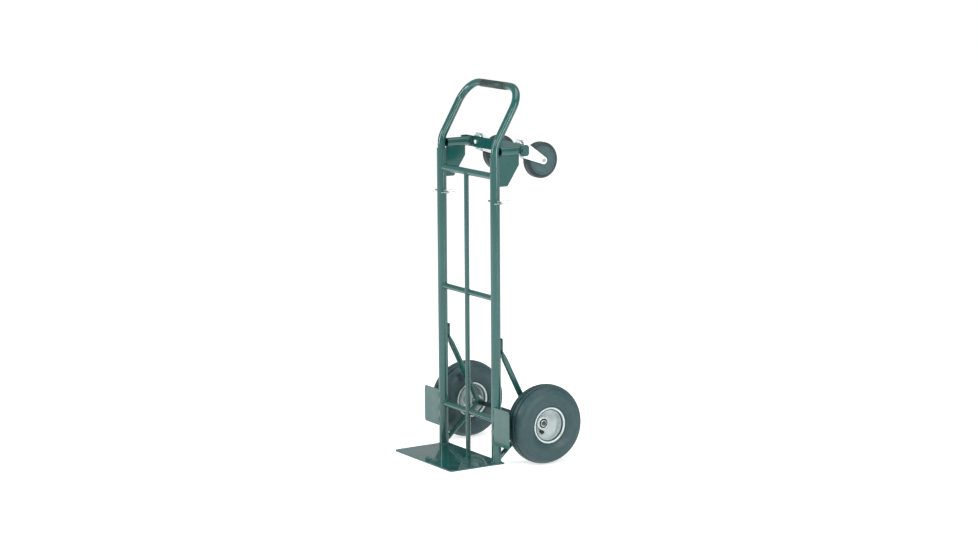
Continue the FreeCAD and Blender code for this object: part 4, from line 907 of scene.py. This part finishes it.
def make_grip_band(paints):
    """A plain dark label wrapped round the grip, with thin amber rules and no lettering."""
    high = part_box("handle_loop")[1]
    radius = 12.7 * MM
    y, z = high.y - radius, high.z - radius
    half = 78 * MM
    inset, width = 4 * MM, 2 * MM
    skin = 0.15 * MM
    for name, start, end, lift, paint in (
        ("grip_label", -half, half, skin, "label"),
        ("grip_rule_left", -half + inset, -half + inset + width, 1.4 * skin, "amber"),
        ("grip_rule_right", half - inset - width, half - inset, 1.4 * skin, "amber"),
    ):
        ring = [(radius, start), (radius + lift, start), (radius + lift, end), (radius, end)]
        band = lathe(name, ring, (0, y, z), (1, 0, 0), 72)
        finish_piece(band, "handle", paints[paint])


def build_truck():
    """Puts a material on every CAD node, then adds the detailed pieces."""
    paints = make_materials()
    for node, item in frame["nodes"].items():
        slot = next(row["material_slot"] for row in frame["record"]["subparts"] if row["node"] == node)
        item.data.materials.clear()
        item.data.materials.append(paints[slot])
    for name, side in SIDES:
        make_wheel(name, side, paints)
    make_welds(paints["frame_paint"])
    soften_plates(paints)
    make_bolts(paints)
    make_caster_wheels(paints)
    make_axle_pieces(paints)
    make_grip_band(paints)


def add_light(name, place, aim, size, power):
    """A rectangular light, size and power in metres and watts, that faces aim."""
    data = bpy.data.lights.new(name, "AREA")
    data.shape = "RECTANGLE"
    data.size, data.size_y = size
    data.energy = power
    item = bpy.data.objects.new(name, data)
    bpy.context.scene.collection.objects.link(item)
    item.location = place
    item.rotation_euler = (Vector(aim) - Vector(place)).to_track_quat("-Z", "Y").to_euler()


def make_stage():
    """A white studio: a wide pale floor that runs back past the horizon, and large soft lights."""
    scene = bpy.context.scene
    scene.view_settings.view_transform = "Standard"
    scene.view_settings.look = "None"
    world = bpy.data.worlds.new("studio")
    world.use_nodes = True
    background = world.node_tree.nodes["Background"]
    background.inputs["Color"].default_value = (0.93, 0.97, 1.0, 1)
    background.inputs["Strength"].default_value = 0.52
    scene.world = world
    half = 90.0
    floor = add_object("floor", [(-half, -half, 0), (half, -half, 0), (half, half, 0), (-half, half, 0)],
                       [(0, 1, 2, 3)], smooth=False)
    r = Recipe("floor_white")
    pale = r.mix(r.ramp(r.noise(1.3), 0.3, 0.7), (0.78, 0.79, 0.79), (0.80, 0.81, 0.81))
    r.set(Base_Color=pale, Roughness=0.9, Specular_IOR_Level=0.05, Emission_Color=(1.0, 1.0, 1.0),
          Emission_Strength=0.62)
    floor.data.materials.append(r.material)
    add_light("key", (-1.2, -4.6, 2.4), (0, 0, 0.6), (0.6, 3.6), 150)
    add_light("front", (3.6, -3.4, 3.4), (0, 0, 0.6), (1.6, 1.6), 60)
    add_light("side", (4.4, 0.9, 2.0), (0, 0, 0.6), (0.6, 3.6), 110)
    add_light("top", (0.5, 0.5, 4.4), (0, 0, 0.4), (3.0, 3.0), 70)


CAMERA = {"azimuth": 57.66, "elevation": 9.59, "distance": 8.532, "roll": 0.35, "lens": 96.4,
          "target": (0.0, RAIL_Y + 0.0783, 0.5882)}


def make_camera():
    """The camera stands in front and to the right, a little above the truck."""
    a, e = math.radians(CAMERA["azimuth"]), math.radians(CAMERA["elevation"])
    back = Vector((math.sin(a) * math.cos(e), -math.cos(a) * math.cos(e), math.sin(e)))
    data = bpy.data.cameras.new("camera")
    data.sensor_width = 36
    data.lens = CAMERA["lens"]
    data.clip_end = 100
    camera = bpy.data.objects.new("camera", data)
    bpy.context.scene.collection.objects.link(camera)
    camera.location = Vector(CAMERA["target"]) + back * CAMERA["distance"]
    roll = Matrix.Rotation(math.radians(-CAMERA["roll"]), 3, "Z")
    camera.rotation_euler = ((-back).to_track_quat("-Z", "Y").to_matrix() @ roll).to_euler()
    bpy.context.scene.camera = camera


build_truck()
make_stage()
make_camera()
